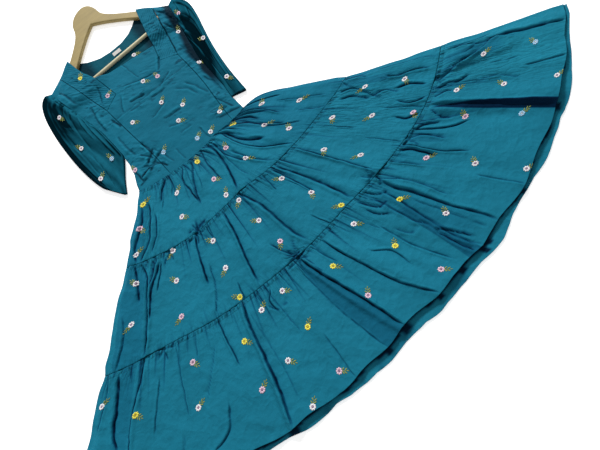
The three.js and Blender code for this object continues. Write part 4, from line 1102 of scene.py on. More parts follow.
class Finish:
    """A node material: each call adds one node, its inputs given by name or number."""

    def __init__(self, name):
        self.material = bpy.data.materials.new(name)
        self.material.use_nodes = True
        self.nodes = self.material.node_tree.nodes
        self.links = self.material.node_tree.links
        self.shader = self.nodes["Principled BSDF"]

    def add(self, kind, settings=None, **inputs):
        node = self.nodes.new(kind)
        for key, value in (settings or {}).items():
            setattr(node, key, value)
        for key, value in inputs.items():
            self.feed(node, key.replace("_", " "), value)
        return node

    def feed(self, node, key, value):
        by_number = key[0] == "i" and key[1:].isdigit()
        socket = node.inputs[int(key[1:]) if by_number else key]
        if isinstance(value, bpy.types.NodeSocket):
            self.links.new(value, socket)
        else:
            socket.default_value = value

    def math(self, operation, a, b=0.0, c=0.0):
        return self.add("ShaderNodeMath", {"operation": operation}, i0=a, i1=b, i2=c).outputs[0]

    def ramp(self, value, low, high, to_low, to_high):
        return self.add("ShaderNodeMapRange", {"clamp": True}, Value=value, From_Min=low,
                        From_Max=high, To_Min=to_low, To_Max=to_high).outputs[0]

    def product(self, first, *others):
        for other in others:
            first = self.math("MULTIPLY", first, other)
        return first

    def near(self, value, middle, inner, outer):
        """1 where a value is within inner of a middle, falling to 0 at outer."""
        return self.ramp(self.math("ABSOLUTE", self.math("SUBTRACT", value, middle)), inner, outer,
                         1.0, 0.0)

    def mark(self, name):
        return self.add("ShaderNodeAttribute", {"attribute_name": name}).outputs["Fac"]

    def noise(self, place, scale, detail=2.0, roughness=0.5):
        return self.add("ShaderNodeTexNoise", None, Vector=place, Scale=scale, Detail=detail,
                        Roughness=roughness).outputs[0]

    def drawn_noise(self, place, scales, detail=2.0, roughness=0.5, turn=0.0):
        """Noise drawn out, as its scales differ along each axis."""
        drawn = self.add("ShaderNodeMapping", None, Vector=place, Rotation=(0.0, 0.0, turn),
                         Scale=scales).outputs[0]
        return self.noise(drawn, 1.0, detail, roughness)

    def threads(self, place, pitch, way, **inputs):
        """Parallel threads of a pitch in metres."""
        return self.add("ShaderNodeTexWave", {"wave_type": "BANDS", "bands_direction": way},
                        Vector=place, Scale=WAVE_SCALE / pitch, **inputs).outputs["Fac"]

    def bump(self, height, strength, distance, **inputs):
        return self.add("ShaderNodeBump", None, Strength=strength, Distance=distance, Height=height,
                        **inputs).outputs[0]

    def tint(self, base, value):
        """The base colour made lighter or darker by a value round 1."""
        return self.add("ShaderNodeVectorMath", {"operation": "SCALE"}, i0=base,
                        Scale=value).outputs[0]

    def set(self, **inputs):
        for key, value in inputs.items():
            self.feed(self.shader, key.replace("_", " "), value)
        return self.material


WAVE_SCALE = 0.314  # scale of a wave texture times its bands' pitch in metres
WEAVE_PITCH = 0.0007  # two threads of the cloth
STRAND_PITCH, RIB_PITCH = 0.0008, 0.0006  # of the embroidery thread and the label
STITCH_PITCH, STITCH_GAP = 0.0032, 0.34  # the gap is a share of the pitch
STITCH_LINE, STITCH_HALF = 62.8, 0.45  # seam mark of a line of stitches, half its width
BAND_WIDTH = 9.2  # millimetres, of the gathered band under a seam
LINES, RUNGS, SEAM_EDGE, BAND_FOOT, FOOT_SEAM = 0.30, 0.44, 0.20, 0.30, 0.12  # how dark the painted shade of each is
CRUMPLE_CELLS = ((46.0, 1.0), (105.0, 0.42))  # scale and weight


def gathered_shade(finish, value, cloth, seam, gather):
    """Darkens a value by painted shade where the gathering draws the cloth in: fine lines down the
    bunched cloth, rungs in the band under a seam, and the edges of both. Returns it, and the
    grooves along those lines."""
    drawn = finish.drawn_noise(cloth, (95.0, 22.0, 1.0))
    puckers = finish.drawn_noise(cloth, (150.0, 60.0, 1.0))
    line = finish.product(finish.near(drawn, 0.5, 0.0, 0.035), gather)
    in_band = finish.product(finish.ramp(seam, 0.0, 1.5, 0.0, 1.0),
                             finish.ramp(seam, 8.0, 10.0, 1.0, 0.0))
    rung = finish.product(finish.ramp(puckers, 0.50, 0.58, 0.0, 1.0), in_band)
    edge = finish.ramp(seam, 0.7, 1.9, 1.0, 0.0)
    band_foot = finish.near(seam, BAND_WIDTH, 0.2, 1.0)
    foot_seam = finish.near(seam, FOOT_MARK, 0.4, 1.4)
    for part, much in ((line, LINES), (rung, RUNGS), (edge, SEAM_EDGE), (band_foot, BAND_FOOT),
                       (foot_seam, FOOT_SEAM)):
        value = finish.product(value, finish.ramp(part, 0.0, 1.0, 1.0, 1.0 - much))
    return value, finish.product(finish.near(drawn, 0.5, 0.0, 0.12), gather)


def cotton(name, base, roughness=0.72, sheen=0.06, crease_floor=0.05, calm=1.0,
           shine=0.035, cool=0.1):
    """Plain woven cotton: threads crossing in the cloth's own coordinates, uneven dyeing, painted
    shade in the creases that is a little cooler and painted highlights on their ridges, a line of
    stitches along each seam, and a low sheen."""
    finish = Finish(name)
    place = finish.add("ShaderNodeTexCoord")
    cloth, solid = place.outputs["UV"], place.outputs["Object"]
    shade, seam, gather = (finish.mark(mark) for mark in ("shade", "seam", "gather"))
    weave = finish.math("MAXIMUM", *(
        finish.threads(cloth, WEAVE_PITCH, axis, Distortion=0.6, Detail=1.0, Detail_Scale=0.4)
        for axis in "XY"))
    slub = finish.drawn_noise(cloth, (60.0, 900.0, 1.0))
    dye, mottle = finish.noise(solid, 9.0, 3.0, 0.55), finish.noise(solid, 70.0, 3.0, 0.6)
    value = finish.product(
        finish.ramp(dye, 0.3, 0.7, 0.93, 1.07), finish.ramp(mottle, 0.3, 0.7, 0.96, 1.04),
        finish.ramp(weave, 0.0, 1.0, 0.90, 1.04), finish.ramp(slub, 0.3, 0.7, 0.97, 1.03))
    # The shade mark as painted shade, and below 0 as painted highlights.
    shaded = finish.ramp(shade, -0.3, 1.0, 1.0 + 0.3 * (1 - crease_floor), crease_floor)
    value, grooves = gathered_shade(finish, finish.product(value, shaded), cloth, seam, gather)
    along = finish.add("ShaderNodeSeparateXYZ", None, Vector=cloth).outputs[0]
    dash = finish.math("GREATER_THAN", finish.math("FRACT", finish.math(
        "DIVIDE", along, STITCH_PITCH)), STITCH_GAP)
    stitch = finish.product(finish.math("COMPARE", seam, STITCH_LINE, STITCH_HALF), dash)
    value = finish.math("ADD", value, finish.product(stitch, 0.12))
    # Painted shade turned cooler: less red and more blue where darker.
    cooler = finish.add("ShaderNodeCombineXYZ", None, X=finish.math("POWER", shaded, 1.4 * cool),
                        Y=1.0, Z=finish.math("POWER", shaded, -cool)).outputs[0]
    fine = finish.bump(finish.math("ADD", finish.product(weave, 0.5), finish.product(stitch, 1.2)),
                       0.22, 0.00018)
    stray = finish.add("ShaderNodeTexNoise", None, Vector=solid, Scale=38.0, Detail=2.0).outputs[1]
    moved = finish.add("ShaderNodeVectorMath", {"operation": "ADD"}, i0=solid,
                       i1=finish.tint(stray, 0.02)).outputs[0]
    cells = [finish.product(finish.add("ShaderNodeTexVoronoi", {"feature": "F1"}, Vector=moved,
                                       Scale=scale).outputs["Distance"], weight)
             for scale, weight in CRUMPLE_CELLS]
    crumple = finish.math("SUBTRACT", finish.math("ADD", *cells), finish.product(grooves, 0.8))
    soft = finish.bump(crumple, 0.55 * calm, 0.0030, Normal=fine)
    colour = finish.add("ShaderNodeVectorMath", {"operation": "MULTIPLY"},
                        i0=finish.tint(base, value), i1=cooler).outputs[0]
    return finish.set(Base_Color=colour, Roughness=roughness,
                      Sheen_Weight=sheen, Sheen_Roughness=0.45, Sheen_Tint=(0.06, 0.62, 0.85, 1.0),
                      Specular_IOR_Level=shine, Normal=soft)


def embroidery(name, base):
    """Satin-stitched thread: fine strands catching the light, a little uneven in colour."""
    finish = Finish(name)
    solid = finish.add("ShaderNodeTexCoord").outputs["Object"]
    strands = finish.threads(solid, STRAND_PITCH, "DIAGONAL", Distortion=2.0, Detail=2.0,
                             Detail_Scale=1.5)
    value = finish.product(finish.ramp(strands, 0.0, 1.0, 0.80, 1.06),
                           finish.ramp(finish.noise(solid, 140.0), 0.3, 0.7, 0.86, 1.12))
    return finish.set(Base_Color=finish.tint(base, value), Roughness=0.42, Sheen_Weight=0.3,
                      Sheen_Roughness=0.3, Normal=finish.bump(strands, 0.5, 0.0003))


GRAIN_TURN = 0.9  # radians, the way the wood's grain runs in plan


def beech(name, base):
    """Pale wood under thin varnish: long fine grain drawn out along the piece, darker flecks, and
    a soft gloss."""
    finish = Finish(name)
    solid = finish.add("ShaderNodeTexCoord").outputs["Object"]
    grain = finish.drawn_noise(solid, (22.0, 190.0, 190.0), 5.0, 0.6, GRAIN_TURN)
    fleck = finish.drawn_noise(solid, (160.0, 1500.0, 900.0), turn=GRAIN_TURN)
    value = finish.product(finish.ramp(grain, 0.3, 0.7, 0.88, 1.08),
                           finish.ramp(fleck, 0.62, 0.75, 1.0, 0.84),
                           finish.ramp(finish.noise(solid, 26.0), 0.3, 0.7, 0.94, 1.06))
    return finish.set(Base_Color=finish.tint(base, value), Roughness=0.6, Specular_IOR_Level=0.25,
                      Coat_Weight=0.04, Coat_Roughness=0.4, Normal=finish.bump(grain, 0.12, 0.0004))


def label_tape(name, base):
    """Bare woven tape: close ribs across, slightly uneven."""
    finish = Finish(name)
    cloth = finish.add("ShaderNodeTexCoord").outputs["UV"]
    ribs = finish.threads(cloth, RIB_PITCH, "Y")
    value = finish.product(finish.ramp(ribs, 0.0, 1.0, 0.86, 1.03),
                           finish.ramp(finish.noise(cloth, 300.0), 0.3, 0.7, 0.95, 1.03))
    return finish.set(Base_Color=finish.tint(base, value), Roughness=0.7,
                      Normal=finish.bump(ribs, 0.3, 0.0002))


def floor_finish(name):
    """Plain pale floor, very slightly uneven."""
    finish = Finish(name)
    solid = finish.add("ShaderNodeTexCoord").outputs["Object"]
    value = finish.ramp(finish.noise(solid, 3.0, 2.0), 0.3, 0.7, 0.99, 1.0)
    return finish.set(Base_Color=finish.tint((0.93, 0.93, 0.93), value), Roughness=0.9,
                      Specular_IOR_Level=0.1, Emission_Color=(1, 1, 1, 1), Emission_Strength=0.5)


# ---------------- operators

class DRESS_OT_skirt_front(bpy.types.Operator):
    """Lays the three gathered front tiers of the skirt, with their folds, creases and gathers"""

    bl_idname = "dress.skirt_front"
    bl_label = "Skirt front"

    def execute(self, context):
        teal = cotton("teal_cotton_front", colours().teal, cool=0.28)
        for index, tier in enumerate(TIERS):
            share, down = tier_grid(index)
            gap = SEAM_GAP / tier_length(*tier["span"], share)
            x, y, z, shade, marks = tier_surface(index, share, mix(gap, 1 - gap, down))
            cloth = cloth_grid(tier["piece"], x, y, z, on_cut(share, down, tier["cut"]), teal,
                               {"shade": shade, **marks})
            stands_for(cloth, "teal_cotton", tier["node"])
        return {"FINISHED"}


BACK_TIERS = [  # piece, node, upper, lower, columns, rows, cut
    ("back_tier_1_cloth", "back_tier_1", "waist", "seam1", 120, 16, (0.62, 0.185)),
    ("back_tier_2_cloth", "back_tier_2", "seam1", "seam2", 160, 16, (1.03, 0.225)),
    ("back_tier_3_cloth", "back_tier_3", "seam2", "back_hem", 520, 34, (1.56, 0.29)),
]
BACK_FACE = 1.35  # upper face of the back layer's cloth
HEM_SHADOW = 3.6  # reach of the painted shadow that the front's hem throws on the back
HEM_HOLES = [  # where a pleat stands open at the hem: share, half width, reach of its painted shade
    (0.298, 0.008, 14), (0.642, 0.004, 16), (0.497, 0.008, 14), (0.46, 0.005, 10),
    (0.605, 0.006, 14), (0.560, 0.005, 11), (0.655, 0.004, 9), (0.856, 0.006, 12),
    (0.735, 0.004, 8),
]
HEM_BAND = 0.86  # from here down the back shows past the front and lies less flat
HEM_CROWDING = 1.9  # how much closer the rows of the last back tier are at its hem


def shown_hem(share, down, x, y, z):
    """The strip of the back that shows past the front: it ripples and strays, with painted shade in
    its ripples' hollows and a painted shadow beside the front's hem and under its open pleats.
    Returns its places, heights and painted shade."""
    loose = smooth((down - HEM_BAND) / (1 - HEM_BAND))
    ripple = facets(share * HEM_RUN, down * 60, 26, 61)
    y = y + loose * 3.6 * facets(share * HEM_RUN, down * 0, 38, 62)
    x = x + loose * 2.6 * facets(share * HEM_RUN, down * 0, 31, 63)
    z = z + loose * (1.6 + 1.6 * ripple) * smooth(share * 40) * smooth((1 - share) * 40)
    ones = np.ones_like(share)
    _, front, _ = skirt_frame("seam2", "hem", share, ones + hem_kink(share, ones))
    _, here, _ = skirt_frame("seam2", "back_hem", share, down)
    past = here - front
    uneven = HEM_SHADOW * (1 + 0.5 * soft_noise(share * HEM_RUN, down * 0, 24, 64))
    under = smooth((uneven - past) / 2.2 + 0.5)
    for place, half, deep in HEM_HOLES:
        hole = smooth(1.5 - np.abs(share - place) / half)
        under = np.maximum(under, hole * smooth((deep - past) / 2.5 + 0.5))
    return x, y, z, np.maximum(0.3 * loose * smooth(-ripple * 1.5), 0.98 * under)


class DRESS_OT_skirt_back(bpy.types.Operator):
    """Lays the three back tiers flat on the surface, the last one showing past the front's hem"""

    bl_idname = "dress.skirt_back"
    bl_label = "Skirt back"

    def execute(self, context):
        inside = cotton("teal_cotton_back", colours().back, cool=0.2)
        for piece, node, upper, lower, columns, rows, cut in BACK_TIERS:
            steps = np.linspace(0, 1, rows + 1)
            if lower == "back_hem":
                steps = 1 - (1 - steps) ** HEM_CROWDING
            down, share = np.meshgrid(steps, np.linspace(0, 1, columns + 1), indexing="ij")
            x, y = skirt_plan(upper, lower, share, down)
            z, shade = np.full_like(x, BACK_FACE), np.zeros_like(x)
            if lower == "back_hem":
                x, y, z, shade = shown_hem(share, down, x, y, z)
            seam = FOOT_MARK + np.minimum(down, 1 - down) * tier_length(upper, lower, share)
            cloth = cloth_grid(piece, x, y, z, on_cut(share, down, cut), inside,
                               {"shade": shade, "seam": seam})
            stands_for(cloth, "teal_inside", node)
        return {"FINISHED"}


FRONT_PANELS = [  # piece, node, edges, columns, rows, painted shade, lean of its crinkles, cut, area
    ("bodice_center_cloth", "front_bodice_center", FRONT_CENTER, 120, 165, CENTER_SHADE, None,
     (0.235, 0.345), 0.066),
    ("bodice_side_left_cloth", "front_bodice_side_left", FRONT_SIDE_LEFT, 48, 250, SIDE_SHADE, None,
     (0.09, 0.43), 0.0235),
    ("bodice_side_right_cloth", "front_bodice_side_right", FRONT_SIDE_RIGHT, 40, 250, SIDE_SHADE,
     None, (0.06, 0.43), 0.0165),
    ("strap_left_cloth", "front_strap_left", FRONT_STRAP_LEFT, 44, 190, STRAP_SHADE, CRINKLE["lean"],
     (0.06, 0.2), 0.0103),
    ("strap_right_cloth", "front_strap_right", FRONT_STRAP_RIGHT, 44, 190, STRAP_SHADE,
     -CRINKLE["lean"], (0.06, 0.2), 0.0097),
]


BACK_GRID = 101  # columns and rows of the back bodice
BY_SLEEVE_SHADE = 0.78  # painted shade of the right side panel beside the sleeve that lies over it


class DRESS_OT_bodice(bpy.types.Operator):
    """Lays the front bodice panels and straps over the hanger, and the back bodice under it"""

    bl_idname = "dress.bodice"
    bl_label = "Bodice"

    def execute(self, context):
        teal = cotton("teal_cotton_bodice", colours().teal, calm=0.55)
        for piece, node, edges, columns, rows, panel_shade, lean, cut, area in FRONT_PANELS:
            up, share = np.meshgrid(np.linspace(1, 0, rows + 1), np.linspace(0, 1, columns + 1),
                                    indexing="ij")
            x, y = panel_plan(edges, share, up)
            z, shade = bodice_surface(x, y)
            if lean is not None:
                calm = smooth(np.minimum(share, 1 - share) * 9)
                calm = calm * smooth((1 - up) * 9) * smooth(up * 12)
                ripple, hollow = crinkles(x, y, lean)
                z, shade = z + ripple * calm, np.maximum(shade, hollow)
            # Painted shade on the right side panel where the sleeve lies beside it.
            if node.endswith("side_right"):
                by_sleeve = smooth((share - 0.35) * 3 + 0.4 * facets(x, y, 24, 27))
                shade = np.maximum(shade, BY_SLEEVE_SHADE * by_sleeve * smooth((y - 60) / 60))
            across = np.hypot(x[:, -1:] - x[:, :1], y[:, -1:] - y[:, :1])
            # Each panel's painted shade is added to its shade mark.
            cloth = cloth_grid(piece, x, y, z, on_cut(share, 1 - up, cut), teal, {
                "shade": np.clip(shade + panel_shade, -0.3, 1),
                "seam": FOOT_MARK + np.minimum(share, 1 - share) * across})
            stands_for(cloth, "teal_cotton", node)
        self.back(cotton("teal_cotton_inside", colours().shade, crease_floor=0.12))
        return {"FINISHED"}

    def back(self, inside):
        """The back in one piece, from the waist up to the shoulders and the scooped neck, with
        painted shade on it.
        """
        steps = np.linspace(0, 1, BACK_GRID)
        up, share = np.meshgrid(steps[::-1], steps, indexing="ij")
        (lx, ly), (rx, ry) = ([np.interp(up, np.linspace(0, 1, len(seam)), column)
                               for column in zip(*seam)] for seam in (LEFT_SEAM, RIGHT_SEAM))
        x, side = mix(lx, rx, share), mix(ly, ry, share)
        tops = np.array([LEFT_SHOULDER_TIP, *BACK_NECK, RIGHT_SHOULDER_TIP], float)
        top, foot = np.interp(x, tops[:, 0], tops[:, 1]), waist_line_at(x)
        side_foot, side_top = (mix(LEFT_SEAM[k][1], RIGHT_SEAM[k][1], share) for k in (0, -1))
        y = foot + (top - foot) * (side - side_foot) / (side_top - side_foot)
        # Painted shade: some all over, deeper lower down toward the front's neckline, and toward
        # both sides by the straps.
        low = 0.95 * smooth(1 - (y - 285) / 70) * smooth((330 - y) / 30 + 1)
        corner = smooth((np.abs(x - 6) - 50) / 34)
        shade = np.clip(np.maximum(0.25, np.maximum(low * 0.8, 0.9 * corner)), 0, 1)
        cut = np.stack([x * MM, y * MM], axis=-1)
        cloth = cloth_grid("back_bodice_cloth", x, y, np.full_like(x, BACK_FACE), cut, inside,
                           {"shade": shade, "seam": FOOT_MARK + top - y})
        stands_for(cloth, "teal_inside", "back_bodice")


SLEEVE_GRID = (136, 120)  # places along a sleeve and round it


class DRESS_OT_sleeves(bpy.types.Operator):
    """Lays the two loose sleeves beside the bodice, gathered at the head and open at the cuff"""

    bl_idname = "dress.sleeves"
    bl_label = "Sleeves"

    def execute(self, context):
        # The sleeves' darker teal is painted shade.
        teal = cotton("teal_cotton_sleeves_shaded", colours().sleeve, roughness=0.6, sheen=0.0, calm=0.6,
                      cool=0.03, shine=0.0)
        rows, columns = SLEEVE_GRID
        along, turn = np.meshgrid(np.linspace(0, 1, rows), np.arange(columns) * 2 * np.pi / columns,
                                  indexing="ij")
        for side, sleeve in SLEEVES.items():
            x, y, z, shade = sleeve_surface(side, along, turn)
            cut = on_cut(turn / (2 * np.pi), along, sleeve["cut"])
            seam = FOOT_MARK + np.minimum(along, 1 - along) * 330
            cloth = cloth_grid(f"sleeve_{side}_cloth", x, y, z, cut, teal,
                               {"shade": shade, "seam": seam}, ring=True, flip=sleeve["way"] < 0)
            stands_for(cloth, "teal_inside", f"sleeve_{side}")
        return {"FINISHED"}


# The hanger's inner and outer edge, from the tip at -X over the crown to the tip at +X: the first
# point, then smooth spans, each as two handles, its last point and where it ends along the hanger.
HANGER_INNER = [
    (-146.6, 326), ((-134, 352), (-116, 372), (-92, 397), 0.20),
    ((-60, 430), (-20, 466), (4, 482), 0.50), ((30, 466), (70, 436), (112, 394), 0.80),
    ((128, 378), (140, 362), (148.6, 337), 1.0),
]
HANGER_OUTER = [
    (-166, 326), ((-160, 356), (-128, 398), (-98, 427), 0.20),
    ((-62, 462), (-48, 478), (-42, 500), 0.38), ((-38, 532), (-12, 552), (12, 552), 0.50),
    ((36, 550), (40, 522), (42, 500), 0.62), ((44, 482), (80, 450), (116, 421), 0.80),
    ((140, 398), (166, 366), (170, 337), 1.0),
]
ARM_MIDDLE, ARM_HALF = 7.3, 5.5  # height of the arms' middle, and half their thickness
BAR_START, BAR_END = (-140.5, 331.5, 7.5), (143.0, 342.0, 7.5)
BAR_RADIUS = 4.5
FLAT_STEPS = 9  # points across a flat of the arms' section
EDGE_TURNS = [75, 55, 35, 15, 0, -15, -35, -55, -75]  # degrees, round its edges


def along_spans(spans, place):
    """Place on a chain of cubic spans: each blends its ends and handles by the usual weights."""
    points, start = np.zeros((len(place), 2)), 0.0
    a, *spans = spans
    for b, c, d, end in spans:
        on = (place >= start) & (place <= end)
        t = ((place[on] - start) / (end - start))[:, None]
        points[on] = ((1 - t) ** 3 * np.array(a) + 3 * (1 - t) ** 2 * t * np.array(b)
                      + 3 * (1 - t) * t ** 2 * np.array(c) + t ** 3 * np.array(d))
        a, start = d, end
    return points


class DRESS_OT_hanger(bpy.types.Operator):
    """Shapes the wooden hanger: a flat rounded body over the crown, and its round bar"""

    bl_idname = "dress.hanger"
    bl_label = "Hanger"

    def execute(self, context):
        place = np.linspace(0, 1, 241)
        inner, outer = along_spans(HANGER_INNER, place), along_spans(HANGER_OUTER, place)
        middle, half = (inner + outer) / 2, (outer - inner) / 2
        wide = np.hypot(*half.T)[:, None]
        round_by = sizes().hanger_edge / MM
        # Section as (share of the flat, corner across, corner up): top from outer to inner, the
        # inner edge's half round, then the underside back to the outer edge.
        flat, ones = np.linspace(1, -1, FLAT_STEPS), np.ones(FLAT_STEPS)
        turns = np.radians(EDGE_TURNS)
        share = np.concatenate([flat, -ones, -flat, ones])
        corner = np.concatenate([0 * ones, -np.cos(turns), 0 * ones, np.cos(turns)])
        lift = np.concatenate([ones, np.sin(turns), -ones, -np.sin(turns)])
        reach = share * (wide - round_by) + corner * round_by
        height = np.sign(lift) * (ARM_HALF - round_by) + lift * round_by
        taper = smooth(np.minimum(place, 1 - place) / 0.008)[:, None]
        taper[0] = taper[-1] = 0.0
        direction = half / wide
        x = middle[:, :1] + direction[:, :1] * reach * taper
        y = middle[:, 1:] + direction[:, 1:] * reach * taper
        z = ARM_MIDDLE + np.broadcast_to(height, x.shape) * taper
        points = to_metres(np.stack([x, y, z], axis=-1).reshape(-1, 3))
        body = closed_mesh("hanger_body_wood", points, grid_faces(*x.shape, ring=True),
                           beech("pale_wood", colours().wood))
        stands_for(body, "pale_wood", "hanger_arms")
        stands_for(self.dowel(), "pale_wood", "hanger_bar")
        return {"FINISHED"}

    def dowel(self):
        """Round bar between the arms: rings along a straight line, closed at both ends."""
        start, end = np.array(BAR_START), np.array(BAR_END)
        run = (end - start) / np.linalg.norm(end - start)
        side, up = np.array([-run[1], run[0], 0.0]), np.array([0.0, 0.0, 1.0])
        along = np.concatenate([[0, 0, 0.002], np.linspace(0.006, 0.994, 60), [0.998, 1, 1]])
        radius = BAR_RADIUS * np.concatenate([[0, 0.86, 0.98], np.ones(60), [0.98, 0.86, 0]])
        turn = np.arange(28) * 2 * np.pi / 28
        points = (start + (end - start) * along[:, None, None]
                  + radius[:, None, None] * (np.cos(turn)[None, :, None] * side
                                             + np.sin(turn)[None, :, None] * up))
        return closed_mesh("hanger_bar_wood", to_metres(points.reshape(-1, 3)),
                           grid_faces(len(along), 28, ring=True),
                           # Paler wood as painted light on the bar.
                           beech("pale_wood_bar_lit", colours().bar))


LABEL = {"middle": (9, 362), "size": (24, 12), "height": 2.45, "bow": 0.35, "wall": 0.0005}


class DRESS_OT_label(bpy.types.Operator):
    """Sews a small bare label inside the back of the neck"""

    bl_idname = "dress.label"
    bl_label = "Neck label"

    def execute(self, context):
        v, u = np.meshgrid(np.linspace(1, 0, 25), np.linspace(0, 1, 37), indexing="ij")
        (mx, my), (wide, long) = LABEL["middle"], LABEL["size"]
        x, y = mx + wide * (u - 0.5), my + long * (v - 0.5)
        z = LABEL["height"] + LABEL["bow"] * np.sin(np.pi * u) * smooth((1 - v) * 2)
        label = cloth_grid("neck_label_tape", x, y, z, on_cut(u, v, (0.024, 0.012)),
                           label_tape("label_tape", colours().label), {})
        label.modifiers["wall"].thickness = LABEL["wall"]
        stands_for(label, "label_white", "neck_label")
        return {"FINISHED"}


# Embroidered flowers on the skirt, in columns: tier, thousandths across, then the thread of the
# flower at each hundredth down.
SKIRT_FLOWERS = [
    (0, 30, {21: "y", 53: "p", 87: "w"}), (0, 220, {31: "w", 67: "w"}),
    (0, 435, {12: "y", 54: "p", 88: "w"}), (0, 620, {29: "p", 64: "w"}),
    (0, 810, {11: "y", 50: "w", 80: "w"}), (0, 932, {26: "w", 66: "w"}),
    (1, 45, {21: "w", 61: "w"}), (1, 165, {4: "w", 39: "w", 79: "p"}),
    (1, 305, {22: "w", 58: "w", 95: "y"}), (1, 460, {7: "w", 41: "w", 75: "p"}),
    (1, 615, {21: "w", 59: "w", 95: "y"}), (1, 750, {33: "w", 71: "w"}),
    (1, 860, {16: "w", 54: "w", 92: "p"}), (1, 945, {30: "w", 69: "w"}),
    (2, 12, {24: "w", 62: "w"}), (2, 75, {41: "y", 80: "p"}),
    (2, 176, {22: "p", 55: "w", 88: "w"}), (2, 280, {28: "y", 66: "p"}),
    (2, 335, {16: "w", 60: "w", 97: "w"}), (2, 390, {14: "w", 49: "y", 88: "p"}),
    (2, 497, {27: "y", 64: "p"}), (2, 590, {15: "w", 52: "y", 90: "p"}),
    (2, 673, {29: "y", 65: "w"}), (2, 763, {25: "p", 61: "w", 97: "w"}),
    (2, 845, {36: "p", 77: "b"}), (2, 895, {21: "w", 57: "w", 96: "w"}),
    (2, 954, {36: "w", 77: "b"}),
]
BODICE_FLOWERS = [  # plan place, thread and the way its sprig points, in degrees from +X
    (-78, 264, "p", 30), (-70, 151, "w", -40), (-57, 33, "b", 35), (24, 3, "b", 30),
    (17, 72, "w", -35), (14, 143, "w", 40), (13, 227, "w", -45), (57, -6, "w", 30),
    (49, 100, "w", 40), (38, 315, "w", -20), (48, 212, "p", 95), (162, 286, "w", 60),
    (148, 169, "w", -30), (-134, 44, "p", 100), (-104, 356, "y", 60), (104, 20, "w", 40),
]
SLEEVE_FLOWERS = [  # side, along and turn of the tube, thread, way its sprig points
    ("left", 0.27, 1.20, "w", 30), ("left", 0.68, 2.20, "b", 200), ("left", 0.55, 1.31, "w", 200),
    ("left", 0.83, 1.10, "w", 120), ("right", 0.50, 1.45, "w", 250),
    ("right", 0.11, 1.20, "p", 150), ("right", 0.86, 1.60, "w", 30),
]
# One flower in its own plan, in tenths of its radius, its sprig toward +X: part, middle, half
# sizes, turn in degrees and height.
PETALS = [("petal", 6.4 * np.cos(a), 6.4 * np.sin(a), 3.7, 3.1, np.degrees(a), 1.5)
          for a in np.arange(8) * np.pi / 4]
MOTIF = PETALS + [
    ("eye", 0.0, 0.0, 2.7, 2.7, 0.0, 2.0),
    ("leaf", 12.5, 4.6, 5.2, 1.9, 48.0, 1.1), ("leaf", 12.0, -5.2, 5.2, 1.9, -48.0, 1.1),
    ("leaf", 19.5, 4.4, 5.4, 1.6, 34.0, 1.0), ("leaf", 20.5, -3.8, 5.0, 1.6, -32.0, 1.0),
    ("leaf", 26.5, 0.6, 4.2, 1.4, 6.0, 1.0), ("leaf", 16.0, 0.0, 8.0, 0.8, 0.0, 0.8),
]
LENS = (5, 8)  # points from the crown to the underside of a part, and round it
UNDERSIDE = 0.6  # how far a part reaches under its middle, in tenths of the radius
THREADS = {"w": ("thread_white", "thread_mauve"), "p": ("thread_pink", "thread_mauve"),
           "y": ("thread_yellow", "thread_orange"), "b": ("thread_blue", "thread_white")}
ON_SKIRT, ON_BODICE, ON_SLEEVE = 0.3, 0.25, 1.2  # how high the flowers lie on the cloth


def motif_points(turn):
    """Points of one flower, its parts small closed lenses, turned in plan: places a and b and
    heights above the cloth, each as (parts, rows, columns)."""
    polar = np.linspace(0, np.pi, LENS[0])[:, None]
    angle = (np.arange(LENS[1]) * 2 * np.pi / LENS[1])[None, :]
    crown, under = np.maximum(np.cos(polar), 0), np.minimum(np.cos(polar), 0)
    rows = []
    for _, a, b, half_a, half_b, own_turn, height in MOTIF:
        u, v = half_a * np.sin(polar) * np.cos(angle), half_b * np.sin(polar) * np.sin(angle)
        c, s = np.cos(np.radians(own_turn)), np.sin(np.radians(own_turn))
        rows.append((a + u * c - v * s, b + u * s + v * c,
                     np.broadcast_to(height * crown + UNDERSIDE * under, u.shape)))
    a, b, h = (np.array(values) * (sizes().flower_radius / MM / 10.0) for values in zip(*rows))
    c, s = np.cos(np.radians(turn)), np.sin(np.radians(turn))
    return a * c - b * s, a * s + b * c, h


